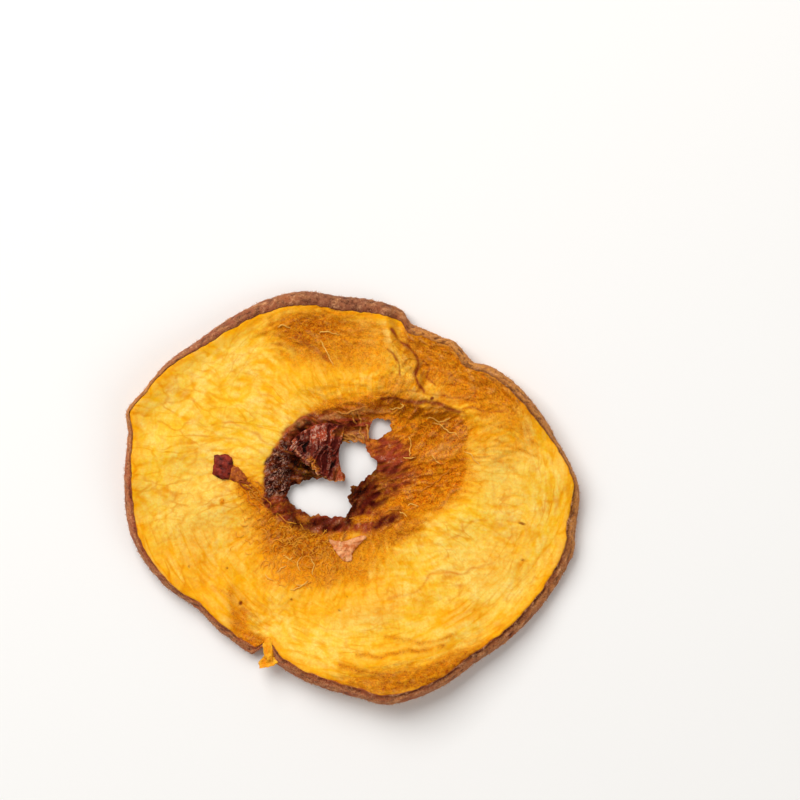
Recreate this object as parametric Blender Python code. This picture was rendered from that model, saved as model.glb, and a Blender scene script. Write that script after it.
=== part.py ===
"""One dried peach slice: a round cut across the fruit, lying on its flatter side.

The slice is a ring of flesh with the skin round its edge. Its middle is the hollow
that the stone left, whose thin floor is torn through in two places. The origin is
under the middle of the slice, +X to the right of it and +Z up.
"""

import math
import random

import bmesh
import bpy
import numpy as np
from mathutils import Vector, noise

MM = 0.001

# Outlines seen from above, as points about the middle of the slice. The outer edge
# and the hollow's edge run anticlockwise round HOLLOW_CENTRE.
HOLLOW_CENTRE = np.array((1.7, 4.2)) * MM
OUTER_EDGE = np.array((
    (28.6, 0.6), (25.9, 7.0), (17.5, 16.5), (15.0, 17.3), (12.8, 19.7), (11.1, 20.3),
    (7.6, 21.8), (6.3, 23.6), (-1.5, 25.4), (-6.4, 26.0), (-18.7, 20.3), (-23.3, 16.9),
    (-26.4, 13.2), (-28.3, 10.8), (-28.1, 8.0), (-27.9, -4.6), (-23.6, -11.1),
    (-19.0, -14.5), (-12.8, -19.7), (-11.0, -18.8), (-9.3, -21.0), (0.9, -25.1),
    (4.5, -25.9), (12.0, -23.3), (16.0, -20.4), (27.6, -7.6), (28.2, -3.8),
)) * MM
HOLLOW_EDGE = np.array((
    (14.3, 3.5), (14.3, 6.6), (14.3, 9.5), (13.0, 10.8), (10.3, 10.6), (4.1, 12.7),
    (2.3, 12.0), (-1.4, 11.5), (-6.3, 10.0), (-9.8, 6.0), (-10.9, 3.8), (-10.9, 1.6),
    (-11.1, -0.5), (-10.0, -1.6), (1.3, -4.4), (6.8, -3.0),
)) * MM
LARGE_TEAR = (
    (0.1, 1.6), (1.6, 2.4), (2.7, 3.2), (2.9, 4.5), (1.9, 5.6), (1.7, 6.7), (0.4, 7.0),
    (-1.0, 7.1), (-2.3, 5.6), (-1.7, 3.8), (-1.1, 2.3), (-2.5, 2.5), (-3.1, 2.3),
    (-4.3, 2.5), (-5.4, 2.3), (-6.7, 1.7), (-7.9, 1.5), (-8.0, -0.3), (-7.3, -1.1),
    (-5.4, -2.1), (-3.6, -2.3), (-0.8, -2.4), (-0.4, -0.8), (-0.4, 0.1), (-0.1, 0.9),
)
SMALL_TEAR = (
    (2.1, 9.2), (2.2, 7.8), (2.9, 7.3), (4.0, 7.8), (4.9, 8.9), (4.6, 9.8), (3.1, 9.9),
)

# The width of the skin seen from above, at bearings round the slice in degrees.
SKIN_BAND = (
    (0, 0.5), (20, 1.2), (38, 1.2), (60, 0.9), (80, 1.5), (105, 1.9), (125, 1.5),
    (145, 1.1), (158, 0.5), (170, 0.6), (190, 1.1), (215, 0.8), (235, 1.0),
    (260, 1.3), (290, 1.2), (320, 1.3), (345, 1.2),
)
# How far out the thin floor of the hollow reaches, as a share of the way to the
# hollow's edge: it ends at a steep wall on the left and slopes up on the right.
FLOOR_REACH = (
    (0, 0.1), (25, 0.35), (50, 0.66), (75, 0.72), (100, 0.5), (130, 0.4), (165, 0.62),
    (190, 0.72), (245, 0.76), (300, 0.4), (330, 0.15),
)

# Heights and thicknesses.
FLESH_THICKNESS = 3.4 * MM
LIFT = 0.45 * MM             # how far the middle of the underside stands off the table
CURL = 1.25 * MM             # how far the edge bends up and down
CURL_LOBES = 3
CURL_TOP = math.radians(159)  # bearing of the first lobe that bends up
TWIST = 0.3 * MM             # a slower bend across the slice
TWIST_TOP = math.radians(105)
CURL_REACH = 26.0 * MM
UNEVEN = 0.5 * MM            # shrinkage: low dents and swellings of both faces
UNEVEN_SPACING = 4.6 * MM
UNEVEN_UNDER = 0.4           # the underside dried on a tray and is this much smoother
LIP = 0.4 * MM               # the skin stands this much over the shrunken flesh
LIP_WIDTH = 1.6 * MM
RIM_ROLL = 0.9 * MM          # the flesh falls away this far from the hollow's edge
RIM_DROP = 0.25 * MM
LINING = 0.55 * MM           # thickness of the floor of the hollow
UNDER_HOLLOW = 0.5 * MM      # the underside rises this much under the floor
UNDER_INSET = 0.9 * MM       # the underside is this much smaller than the outline
BELLY = 0.42                 # height of the widest line of the skin, as a share
SIDE_INSET = 0.25 * MM       # the skin below the widest line
SIDE_LEVEL = 0.14

# Folds of the upper face: lines seen from above, with half width and height.
RIDGE_LINE = np.array((
    (4.0, 23.3), (5.0, 19.4), (7.5, 17.0), (8.0, 13.3), (12.5, 11.3), (19.2, 9.3),
)) * MM
RIDGE_HALF_WIDTH = 1.0 * MM
RIDGE_HEIGHT = 0.55 * MM
TERRACE_DROP = 1.0 * MM      # the browned corner beyond the ridge lies this much lower
TERRACE_SLOPE = 1.5 * MM
GROOVE_LINE = np.array(((-14.5, -7.8), (-14.3, -12.8), (-13.7, -16.5), (-11.4, -19.2))) * MM
GROOVE_HALF_WIDTH = 1.1 * MM
GROOVE_DEPTH = 0.9 * MM

# Scraps dried on to the slice: place seen from above, size, and turn in degrees.
RED_SCRAP = ((-15.6, 3.9), (2.1, 2.7, 1.3), 8)
PINK_CRUMB = ((-1.3, -6.0), (1.8, 2.3, 1.1), 25)
FLESH_TAG = ((-10.2, -20.4), (1.6, 2.4, 1.7), -20)
TAG_DROP = 1.2 * MM          # the tag hangs out of the side, below the upper face
SCRAP_RISE = 0.15 * MM       # how far the middle of a scrap stands over the flesh
SCRAP_ROUNDING = 0.62        # a scrap's corners are drawn in to this from its middle
SCRAP_UNEVEN = 0.78
TAIL_LINE = ((-15.2, 3.7), (-13.9, 2.9), (-12.9, 1.9), (-12.0, 0.6), (-11.2, -0.4))
TAIL_RADII = (0.75, 0.6, 0.7, 0.6, 0.45)

# Mesh density: steps round the slice, and rows along its section.
STEPS_ROUND = 156
ROWS_HOLLOW = 8
ROWS_FLESH = 10
SKIN_SHARES = (0.8, 0.5, 0.25, 0.0)
ROWS_UNDER = 8

FLESH_COLOUR = (0.93, 0.55, 0.06, 1.0)
FLESH_ROUGHNESS = 0.55


def clear_scene():
    """Remove whatever the startup file holds."""
    for thing in list(bpy.data.objects):
        bpy.data.objects.remove(thing)


def smooth(value):
    """Ease from 0 to 1 as value goes from 0 to 1."""
    value = np.clip(value, 0.0, 1.0)
    return value * value * (3.0 - 2.0 * value)


def round_curve(bearings, values, at):
    """A smooth closed curve through values at bearings, read at other bearings.

    Its slope at each point is kept low enough that it never swings past a value.
    """
    order = np.argsort(bearings)
    turn = 2.0 * math.pi
    bearings = bearings[order]
    values = values[order]
    bearings = np.concatenate((bearings[-2:] - turn, bearings, bearings[:2] + turn))
    values = np.concatenate((values[-2:], values, values[:2]))
    rise = np.diff(values) / np.diff(bearings)
    product = rise[:-1] * rise[1:]
    total = np.where(product > 0.0, rise[:-1] + rise[1:], 1.0)
    slopes = np.zeros(len(values))
    slopes[1:-1] = np.where(product > 0.0, 2.0 * product / total, 0.0)
    at = (at - bearings[2]) % turn + bearings[2]
    piece = np.clip(np.searchsorted(bearings, at, side="right") - 1, 0, len(bearings) - 2)
    width = bearings[piece + 1] - bearings[piece]
    t = (at - bearings[piece]) / width
    start = (1.0 + 2.0 * t) * (1.0 - t) ** 2 * values[piece]
    start += t * (1.0 - t) ** 2 * width * slopes[piece]
    end = t * t * (3.0 - 2.0 * t) * values[piece + 1]
    end += t * t * (t - 1.0) * width * slopes[piece + 1]
    return start + end


def edge_radius(points, bearing):
    """Distance from the hollow's centre to an outline, at each bearing."""
    offset = points - HOLLOW_CENTRE
    bearings = np.arctan2(offset[:, 1], offset[:, 0])
    return round_curve(bearings, np.hypot(offset[:, 0], offset[:, 1]), bearing)


def by_bearing(table, bearing):
    """Read a table of bearings in degrees and values, at each bearing."""
    table = np.array(table)
    return round_curve(np.radians(table[:, 0]), table[:, 1], bearing)


def line_distance(x, y, line):
    """Distance to a line of points, which side of it a place is on, and how far along."""
    nearest = np.full(x.shape, 1.0)
    side = np.zeros(x.shape)
    along = np.zeros(x.shape)
    spans = len(line) - 1
    for number in range(spans):
        start = line[number]
        run = line[number + 1] - start
        share = ((x - start[0]) * run[0] + (y - start[1]) * run[1]) / (run @ run)
        share = np.clip(share, 0.0, 1.0)
        off_x = x - start[0] - share * run[0]
        off_y = y - start[1] - share * run[1]
        distance = np.hypot(off_x, off_y)
        closer = distance < nearest
        nearest = np.where(closer, distance, nearest)
        side = np.where(closer, np.sign(run[0] * off_y - run[1] * off_x), side)
        along = np.where(closer, (number + share) / spans, along)
    return nearest, side, along


def lift(x, y):
    """Height of the bent slice's underside before the table flattens it."""
    reach = np.hypot(x, y) / CURL_REACH
    bearing = np.arctan2(y, x)
    curl = CURL * reach**1.6 * np.cos(CURL_LOBES * (bearing - CURL_TOP))
    twist = TWIST * reach**2 * np.cos(2.0 * (bearing - TWIST_TOP))
    return LIFT + curl + twist


def folds(x, y):
    """Height that the ridge, the browned corner and the groove add to the upper face."""
    distance, side, along = line_distance(x, y, RIDGE_LINE)
    fade = smooth((1.0 - along) * 4.0)
    ridge = RIDGE_HEIGHT * np.exp(-((distance / RIDGE_HALF_WIDTH) ** 2)) * fade
    beyond = np.where(side > 0, smooth(distance / TERRACE_SLOPE), 0.0)
    terrace = -TERRACE_DROP * beyond * fade
    distance, side, along = line_distance(x, y, GROOVE_LINE)
    depth = GROOVE_DEPTH * smooth(0.25 + along)
    groove = -depth * np.exp(-((distance / GROOVE_HALF_WIDTH) ** 2))
    return ridge + terrace + groove


def unevenness(x, y, layer):
    """Smooth dents and swellings, from -1 to 1, with another pattern in each layer."""
    places = np.stack((x, y), axis=-1).reshape(-1, 2) / UNEVEN_SPACING
    found = [noise.noise(Vector((u, v, layer))) for u, v in places]
    return np.array(found).reshape(np.shape(x))


def upper_height(x, y):
    """Height of the upper face of the flesh."""
    return lift(x, y) + FLESH_THICKNESS + folds(x, y) + UNEVEN * unevenness(x, y, 0.3)


def under_height(x, y, hollow_share):
    """Height of the underside: flat where it lies on the table, raised at the hollow."""
    bent = lift(x, y) + UNEVEN_UNDER * UNEVEN * unevenness(x, y, 4.7)
    return np.maximum(bent, 0.0) + UNDER_HOLLOW * (1.0 - smooth(hollow_share))


def section_rows():
    """The rows of the section, from the middle of the hollow outwards over the upper
    face, round the skin and back inwards under the slice."""
    hollow = [("hollow", (row / ROWS_HOLLOW) ** 0.7) for row in range(ROWS_HOLLOW + 1)]
    flesh = [("flesh", row / ROWS_FLESH) for row in range(1, ROWS_FLESH + 1)]
    skin = [("skin", share) for share in SKIN_SHARES]
    under = [("under", 1.0 - row / ROWS_UNDER) for row in range(ROWS_UNDER + 1)]
    return hollow + flesh + skin + [("side", 1.0)] + under


def section_point(kind, share, bearing):
    """Place of one point of the section at each bearing, as rows of x, y and z."""
    hollow = edge_radius(HOLLOW_EDGE, bearing)
    outer = edge_radius(OUTER_EDGE, bearing)
    band = by_bearing(SKIN_BAND, bearing) * MM
    inner = outer - band
    if kind == "hollow":
        radius = hollow * share
    elif kind == "flesh":
        radius = hollow + (inner - hollow) * share
    elif kind == "skin":
        radius = outer - band * (1.0 - math.cos(share * math.pi / 2.0))
    elif kind == "side":
        radius = outer - SIDE_INSET
    else:
        radius = (outer - UNDER_INSET) * share
    x = HOLLOW_CENTRE[0] + radius * np.cos(bearing)
    y = HOLLOW_CENTRE[1] + radius * np.sin(bearing)
    rim_x = HOLLOW_CENTRE[0] + inner * np.cos(bearing)
    rim_y = HOLLOW_CENTRE[1] + inner * np.sin(bearing)
    rim_top = upper_height(rim_x, rim_y) + LIP
    low = under_height(x, y, radius / hollow)
    if kind == "hollow":
        reach = by_bearing(FLOOR_REACH, bearing)
        wall = np.clip((share - reach) / (1.0 - reach), 0.0, 1.0) ** 1.4
        floor = low + LINING
        z = floor + (upper_height(x, y) - RIM_DROP - floor) * wall
    elif kind == "flesh":
        lip = LIP * np.exp(-(((inner - radius) / LIP_WIDTH) ** 2))
        roll = RIM_DROP * np.exp(-(radius - hollow) / RIM_ROLL)
        z = upper_height(x, y) + lip - roll
    elif kind == "skin":
        belly = low + (rim_top - low) * BELLY
        z = belly + (rim_top - belly) * math.sin(share * math.pi / 2.0)
    elif kind == "side":
        z = low + (rim_top - low) * SIDE_LEVEL
    else:
        z = low
    return np.stack((x, y, z), axis=1)


def make_slice():
    """The slice without tears or scraps: a sphere whose section becomes the slice's."""
    rows = section_rows()
    bpy.ops.mesh.primitive_uv_sphere_add(segments=STEPS_ROUND, ring_count=len(rows) - 1)
    peach = bpy.context.object
    peach.name = "peach_slice"
    start = np.empty(len(peach.data.vertices) * 3)
    peach.data.vertices.foreach_get("co", start)
    start = start.reshape(-1, 3)
    bearing = np.arctan2(start[:, 1], start[:, 0])
    from_top = np.arctan2(np.hypot(start[:, 0], start[:, 1]), start[:, 2])
    row = np.rint(from_top / math.pi * (len(rows) - 1)).astype(int)
    placed = np.empty_like(start)
    for number, (kind, share) in enumerate(rows):
        chosen = row == number
        placed[chosen] = section_point(kind, share, bearing[chosen])
    peach.data.vertices.foreach_set("co", placed.ravel())
    peach.data.update()
    return peach


def made_mesh(guide, name, collection):
    """Turn a curve into a welded closed mesh object in its place."""
    bpy.context.view_layer.update()
    seen = guide.evaluated_get(bpy.context.evaluated_depsgraph_get())
    mesh = bpy.data.meshes.new_from_object(seen)
    work = bmesh.new()
    work.from_mesh(mesh)
    bmesh.ops.remove_doubles(work, verts=work.verts, dist=0.001 * MM)
    work.to_mesh(mesh)
    work.free()
    made = bpy.data.objects.new(name, mesh)
    made.matrix_world = guide.matrix_world
    collection.objects.link(made)
    bpy.data.objects.remove(guide)
    return made


def make_tear_cutter(name, outline, cutters):
    """An upright prism with a tear's outline, that cuts it through the slice."""
    curve = bpy.data.curves.new(name, "CURVE")
    curve.dimensions = "2D"
    curve.fill_mode = "BOTH"
    curve.extrude = 8.0 * MM
    edge = curve.splines.new("POLY")
    edge.points.add(len(outline) - 1)
    edge.use_cyclic_u = True
    for point, (x, y) in zip(edge.points, outline):
        point.co = (x * MM, y * MM, 0.0, 1.0)
    guide = bpy.data.objects.new(name + "_guide", curve)
    cutters.objects.link(guide)
    cutter = made_mesh(guide, name, cutters)
    cutter.hide_render = True
    cutter.display_type = "WIRE"
    return cutter


def make_scrap(name, place, size, turn, seed, scraps):
    """An angular, uneven lump, half sunk in the upper face at its place."""
    draw = random.Random(seed)
    mesh = bpy.data.meshes.new(name)
    lump = bmesh.new()
    bmesh.ops.create_cube(lump, size=1.0)
    bmesh.ops.subdivide_edges(lump, edges=lump.edges, cuts=2, use_grid_fill=True)
    for vertex in lump.verts:
        reach = max(vertex.co.length / SCRAP_ROUNDING, 1.0)
        vertex.co *= draw.uniform(SCRAP_UNEVEN, 1.0) / reach
    lump.to_mesh(mesh)
    lump.free()
    scrap = bpy.data.objects.new(name, mesh)
    scraps.objects.link(scrap)
    x, y = np.array(place) * MM
    scrap.location = (x, y, float(upper_height(x, y)) + SCRAP_RISE)
    scrap.rotation_euler.z = math.radians(turn)
    scrap.scale = np.array(size) * MM
    return scrap


def make_tail(scraps):
    """The shred that runs from the red scrap to the hollow's edge."""
    curve = bpy.data.curves.new("red_tail", "CURVE")
    curve.dimensions = "3D"
    curve.bevel_depth = MM
    curve.bevel_resolution = 1
    curve.use_fill_caps = True
    line = curve.splines.new("POLY")
    line.points.add(len(TAIL_LINE) - 1)
    for point, place, radius in zip(line.points, TAIL_LINE, TAIL_RADII):
        x, y = np.array(place) * MM
        point.co = (x, y, float(upper_height(x, y)), 1.0)
        point.radius = radius
    guide = bpy.data.objects.new("red_tail_guide", curve)
    scraps.objects.link(guide)
    made_mesh(guide, "red_tail", scraps)


def make_scraps(scraps):
    """The dark red scrap with its tail, the pink crumb and the torn tag of flesh."""
    make_scrap("red_scrap", *RED_SCRAP, 3, scraps)
    make_scrap("pink_crumb", *PINK_CRUMB, 11, scraps)
    tag = make_scrap("flesh_tag", *FLESH_TAG, 5, scraps)
    tag.location.z -= TAG_DROP
    make_tail(scraps)


def new_collection(name):
    collection = bpy.data.collections.new(name)
    bpy.context.scene.collection.children.link(collection)
    return collection


def boolean(target, operation, collection):
    """Apply one Boolean between the target and a collection, and empty that."""
    modifier = target.modifiers.new(operation.lower(), "BOOLEAN")
    modifier.operation = operation
    modifier.operand_type = "COLLECTION"
    modifier.collection = collection
    bpy.context.view_layer.update()
    seen = target.evaluated_get(bpy.context.evaluated_depsgraph_get())
    result = bpy.data.meshes.new_from_object(seen)
    target.modifiers.clear()
    target.data = result
    for thing in list(collection.objects):
        bpy.data.objects.remove(thing)


def flesh_material():
    """Dried peach flesh: deep yellow and slightly glossy."""
    material = bpy.data.materials.new("dried_peach_flesh")
    material.use_nodes = True
    shader = material.node_tree.nodes["Principled BSDF"]
    shader.inputs["Base Color"].default_value = FLESH_COLOUR
    shader.inputs["Roughness"].default_value = FLESH_ROUGHNESS
    shader.inputs["Metallic"].default_value = 0.0
    return material


def main():
    clear_scene()
    parts = new_collection("dried_peach")
    cutters = new_collection("cutters")
    scraps = new_collection("scraps")
    peach = make_slice()
    for home in list(peach.users_collection):
        home.objects.unlink(peach)
    parts.objects.link(peach)
    make_tear_cutter("large_tear", LARGE_TEAR, cutters)
    make_tear_cutter("small_tear", SMALL_TEAR, cutters)
    boolean(peach, "DIFFERENCE", cutters)
    make_scraps(scraps)
    boolean(peach, "UNION", scraps)
    peach.data.materials.clear()
    peach.data.materials.append(flesh_material())
    peach.data.shade_smooth()
    peach.data.set_sharp_from_angle(angle=math.radians(50))


main()
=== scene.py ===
"""The finished look of one dried peach slice, seen from straight above.

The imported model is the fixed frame. Flesh, skin, lining, scraps and fibres are made on
the same outlines and heights as the solid, and stand for it. The tables, maps and
sections are in millimetres, and a mesh turns them into metres.
"""

import functools
import math
from types import SimpleNamespace

import bmesh
import bpy
import numpy as np
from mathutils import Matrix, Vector, noise


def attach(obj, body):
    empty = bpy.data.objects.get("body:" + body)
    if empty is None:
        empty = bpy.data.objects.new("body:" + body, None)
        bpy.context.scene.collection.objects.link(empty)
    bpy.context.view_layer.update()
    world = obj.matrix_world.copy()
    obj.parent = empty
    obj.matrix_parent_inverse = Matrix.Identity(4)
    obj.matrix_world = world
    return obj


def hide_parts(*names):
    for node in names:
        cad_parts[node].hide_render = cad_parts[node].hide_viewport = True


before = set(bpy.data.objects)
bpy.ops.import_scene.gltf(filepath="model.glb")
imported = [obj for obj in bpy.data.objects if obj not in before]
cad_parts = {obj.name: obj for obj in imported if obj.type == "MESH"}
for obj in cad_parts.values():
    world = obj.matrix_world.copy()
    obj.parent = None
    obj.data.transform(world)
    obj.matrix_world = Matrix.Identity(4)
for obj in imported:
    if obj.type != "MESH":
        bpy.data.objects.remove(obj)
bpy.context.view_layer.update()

bl_info = {
    "name": "Dried peach slice",
    "version": (1, 0, 0),
    "blender": (4, 5, 0),
    "location": "3D View > Sidebar > Dried Peach",
    "description": "Makes a round slice of dried peach with its skin and torn stone hollow",
    "category": "Object",
}

MM = 0.001
NODE = "peach_slice"
BODY = "root"

# Outlines seen from above, about the middle of the slice. The outer edge and the
# hollow's edge run anticlockwise round HOLLOW_CENTRE.
HOLLOW_CENTRE = np.array((1.7, 4.2))
OUTER_EDGE = np.array((
    (28.6, 0.6), (25.9, 7.0), (17.5, 16.5), (15.0, 17.3), (12.8, 19.7), (11.1, 20.3),
    (7.6, 21.8), (6.3, 23.6), (-1.5, 25.4), (-6.4, 26.0), (-18.7, 20.3), (-23.3, 16.9),
    (-26.4, 13.2), (-28.3, 10.8), (-28.1, 8.0), (-27.9, -4.6), (-23.6, -11.1),
    (-19.0, -14.5), (-12.8, -19.7), (-11.0, -18.8), (-9.3, -21.0), (0.9, -25.1),
    (4.5, -25.9), (12.0, -23.3), (16.0, -20.4), (27.6, -7.6), (28.2, -3.8),
))
HOLLOW_EDGE = np.array((
    (14.3, 3.5), (14.3, 6.6), (14.3, 9.5), (13.0, 10.8), (10.3, 10.6), (4.1, 12.7),
    (2.3, 12.0), (-1.4, 11.5), (-6.3, 10.0), (-9.8, 6.0), (-10.9, 3.8), (-10.9, 1.6),
    (-11.1, -0.5), (-10.0, -1.6), (1.3, -4.4), (6.8, -3.0),
))
LARGE_TEAR = (
    (0.1, 1.6), (1.6, 2.4), (2.7, 3.2), (2.9, 4.5), (1.9, 5.6), (1.7, 6.7), (0.4, 7.0),
    (-1.0, 7.1), (-2.3, 5.6), (-1.7, 3.8), (-1.1, 2.3), (-2.5, 2.5), (-3.1, 2.3),
    (-4.3, 2.5), (-5.4, 2.3), (-6.7, 1.7), (-7.9, 1.5), (-8.0, -0.3), (-7.3, -1.1),
    (-5.4, -2.1), (-3.6, -2.3), (-0.8, -2.4), (-0.4, -0.8), (-0.4, 0.1), (-0.1, 0.9),
)
SMALL_TEAR = (
    (2.1, 9.2), (2.2, 7.8), (2.9, 7.3), (4.0, 7.8), (4.9, 8.9), (4.6, 9.8), (3.1, 9.9),
)

# Tables of bearings round the slice in degrees and values: the width of the skin seen
# from above, and how far the hollow's floor reaches as a share of the way to its edge.
SKIN_BAND = (
    (0, 0.5), (20, 1.2), (38, 1.2), (60, 0.9), (80, 1.5), (105, 1.9), (125, 1.5),
    (145, 1.1), (158, 0.5), (170, 0.6), (190, 1.1), (215, 0.8), (235, 1.0),
    (260, 1.3), (290, 1.2), (320, 1.3), (345, 1.2),
)
FLOOR_REACH = (
    (0, 0.1), (25, 0.35), (50, 0.66), (75, 0.72), (100, 0.5), (130, 0.4), (165, 0.62),
    (190, 0.72), (245, 0.76), (300, 0.4), (330, 0.15),
)

# Heights between which the skin has hairs, so that none reach into the table or stand
# over the slice.
HAIRLESS_UNDER = 0.45
HAIRLESS_OVER = 5.85

# Colours of the skin by bearing in degrees: blushed, grey with fuzz, tan where the browned
# corner runs into it, and painted shade as a dark line along its inner edge.
INNER_SHADE = (
    (0, 0.8), (20, 1.0), (40, 0.8), (60, 0.4), (90, 0.7), (120, 0.5), (150, 0.4),
    (180, 0.5), (230, 0.4), (260, 0.6), (290, 1.1), (310, 1.1), (330, 1.0),
)
SKIN_RED = (
    (0, 0.2), (40, 0.1), (100, 0.1), (140, 0.5), (165, 0.3), (185, 0.9), (205, 0.7),
    (235, 0.45), (262, 0.6), (290, 0.3), (320, 0.3),
)
SKIN_GREY = (
    (0, 0.1), (30, 0.0), (60, 0.1), (95, 0.75), (125, 0.5), (150, 0.4), (175, 0.0),
    (220, 0.2), (250, 0.0), (280, 0.0), (300, 0.2), (330, 0.2),
)
SKIN_TAN = (
    (0, 0.85), (15, 0.8), (28, 0.9), (45, 1.1), (62, 1.0), (75, 0.35), (95, 0.0), (150, 0.1),
    (162, 0.7), (172, 0.4), (180, 0.1), (260, 0.1), (300, 0.25), (330, 0.35), (345, 0.8),
)

# Heights and thicknesses of the solid.
FLESH_THICKNESS = 3.4
LIFT = 0.45
CURL = 1.25
CURL_LOBES = 3
CURL_TOP = math.radians(159)
TWIST = 0.3
TWIST_TOP = math.radians(105)
CURL_REACH = 26.0
UNEVEN = 0.5
UNEVEN_SPACING = 4.6
UNEVEN_UNDER = 0.4
LIP = 0.4
LIP_WIDTH = 1.6
RIM_ROLL = 0.9
RIM_DROP = 0.25
LINING = 0.55
UNDER_HOLLOW = 0.5
WALL_BEND = 1.4
UNDER_INSET = 0.9
BELLY = 0.42
SIDE_INSET = 0.25
SIDE_LEVEL = 0.14
RIDGE_LINE = np.array((
    (4.0, 23.3), (5.0, 19.4), (7.5, 17.0), (8.0, 13.3), (12.5, 11.3), (19.2, 9.3),
))
RIDGE_HALF_WIDTH = 1.0
RIDGE_HEIGHT = 0.55
TERRACE_DROP = 1.0
TERRACE_SLOPE = 1.5
GROOVE_LINE = np.array(((-14.5, -7.8), (-14.3, -12.8), (-13.7, -16.5), (-11.4, -19.2)))
GROOVE_HALF_WIDTH = 1.1
GROOVE_DEPTH = 0.9

# Creases drawn on the upper face: points, width and strength.
LONG_CREASES = (
    (((4.5, -12.7), (6.5, -12.2), (8.0, -11.7), (9.2, -10.5), (10.2, -9.5), (11.4, -9.3),
      (12.9, -9.5), (14.3, -9.4), (15.5, -8.8), (16.9, -8.5)), 0.15, 0.9),
    (((12.5, -5.0), (13.9, -4.3), (14.5, -3.3), (15.5, -2.9), (16.9, -2.8)), 0.15, 0.8),
    (((17.6, 3.3), (17.8, 0.5), (18.0, -2.6)), 0.12, 0.5),
    (((-9.8, 6.4), (-11.8, 7.9), (-14.0, 9.0), (-15.4, 9.6), (-17.5, 9.3)), 0.14, 0.8),
    (((-10.6, 5.0), (-13.2, 6.6), (-16.2, 7.6), (-20.0, 6.8)), 0.13, 0.6),
    (((-11.0, 3.4), (-13.6, 4.7), (-16.0, 5.4)), 0.13, 0.6),
    (((-10.9, 2.4), (-12.8, 3.0), (-14.2, 3.8)), 0.12, 0.6),
)
ORANGE_STREAKS = (
    (((0.9, -19.5), (3.4, -19.9), (6.0, -19.2), (8.8, -19.0), (11.5, -18.5)), 0.34, 0.8),
    (((-1.5, -20.9), (2.5, -21.8), (6.4, -22.1), (9.2, -21.8), (11.5, -20.9)), 0.4, 0.9),
    (((4.4, -17.4), (7.4, -17.9), (10.3, -17.9), (13.0, -17.0)), 0.3, 0.6),
    (((-0.6, -23.2), (2.4, -23.8), (5.6, -23.4), (8.3, -22.3)), 0.4, 0.8),
    (((8.3, -22.5), (12.0, -21.1), (15.4, -19.5), (17.6, -17.8)), 0.34, 1.0),
    (((-17.6, -11.2), (-15.4, -12.4), (-14.4, -15.2)), 0.3, 0.5),
    (((-15.2, -11.6), (-15.0, -13.8), (-14.6, -16.0), (-13.4, -18.2)), 0.6, 0.6),
    (((15.2, 9.6), (18.0, 9.0), (20.5, 8.6), (22.6, 7.0)), 0.3, 0.6),
    (((15.0, 7.6), (17.6, 7.4), (20.0, 6.4), (23.0, 5.4)), 0.26, 0.5),
    (((16.4, 5.4), (18.6, 4.6), (20.4, 3.2)), 0.26, 0.45),
    (((13.9, 10.9), (14.35, 10.0), (14.4, 8.8), (14.2, 7.4)), 0.24, 0.95),
    (((11.4, 12.4), (14.0, 12.3), (16.4, 12.6), (18.6, 11.8)), 0.22, 0.7),
)
DARK_CREASES = (
    (((5.1, 21.2), (5.5, 20.0), (6.3, 19.4), (7.0, 18.9), (7.6, 18.4), (8.1, 17.7),
      (8.3, 16.5), (7.8, 15.3), (8.4, 14.0), (8.9, 13.2)), 0.19, 1.3),
    (((4.4, 18.7), (5.3, 17.9), (5.8, 16.2), (5.9, 15.2)), 0.12, 0.9),
    (((8.6, 17.6), (9.6, 16.4), (9.4, 15.2), (10.4, 14.2)), 0.14, 0.8),
    (((6.2, 13.4), (8.0, 13.5), (9.6, 13.0), (12.4, 12.8), (15.6, 12.0)), 0.14, 0.7),
    (((3.6, 12.6), (5.4, 12.4), (7.4, 12.0), (9.4, 12.0), (11.4, 11.5), (13.5, 10.7)),
     0.24, 1.2),
    (((-8.6, 8.2), (-7.4, 9.2), (-5.8, 10.1), (-4.2, 10.6)), 0.26, 0.9),
    (((12.6, 10.9), (14.6, 11.3), (17.0, 10.8), (19.6, 11.0)), 0.13, 0.6),
    (((-7.1, 20.5), (-5.1, 19.0), (-2.8, 17.2)), 0.4, 0.65),
    (((-11.0, 1.6), (-9.6, -1.6), (-6.2, -4.1)), 0.4, 0.7),
)

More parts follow.
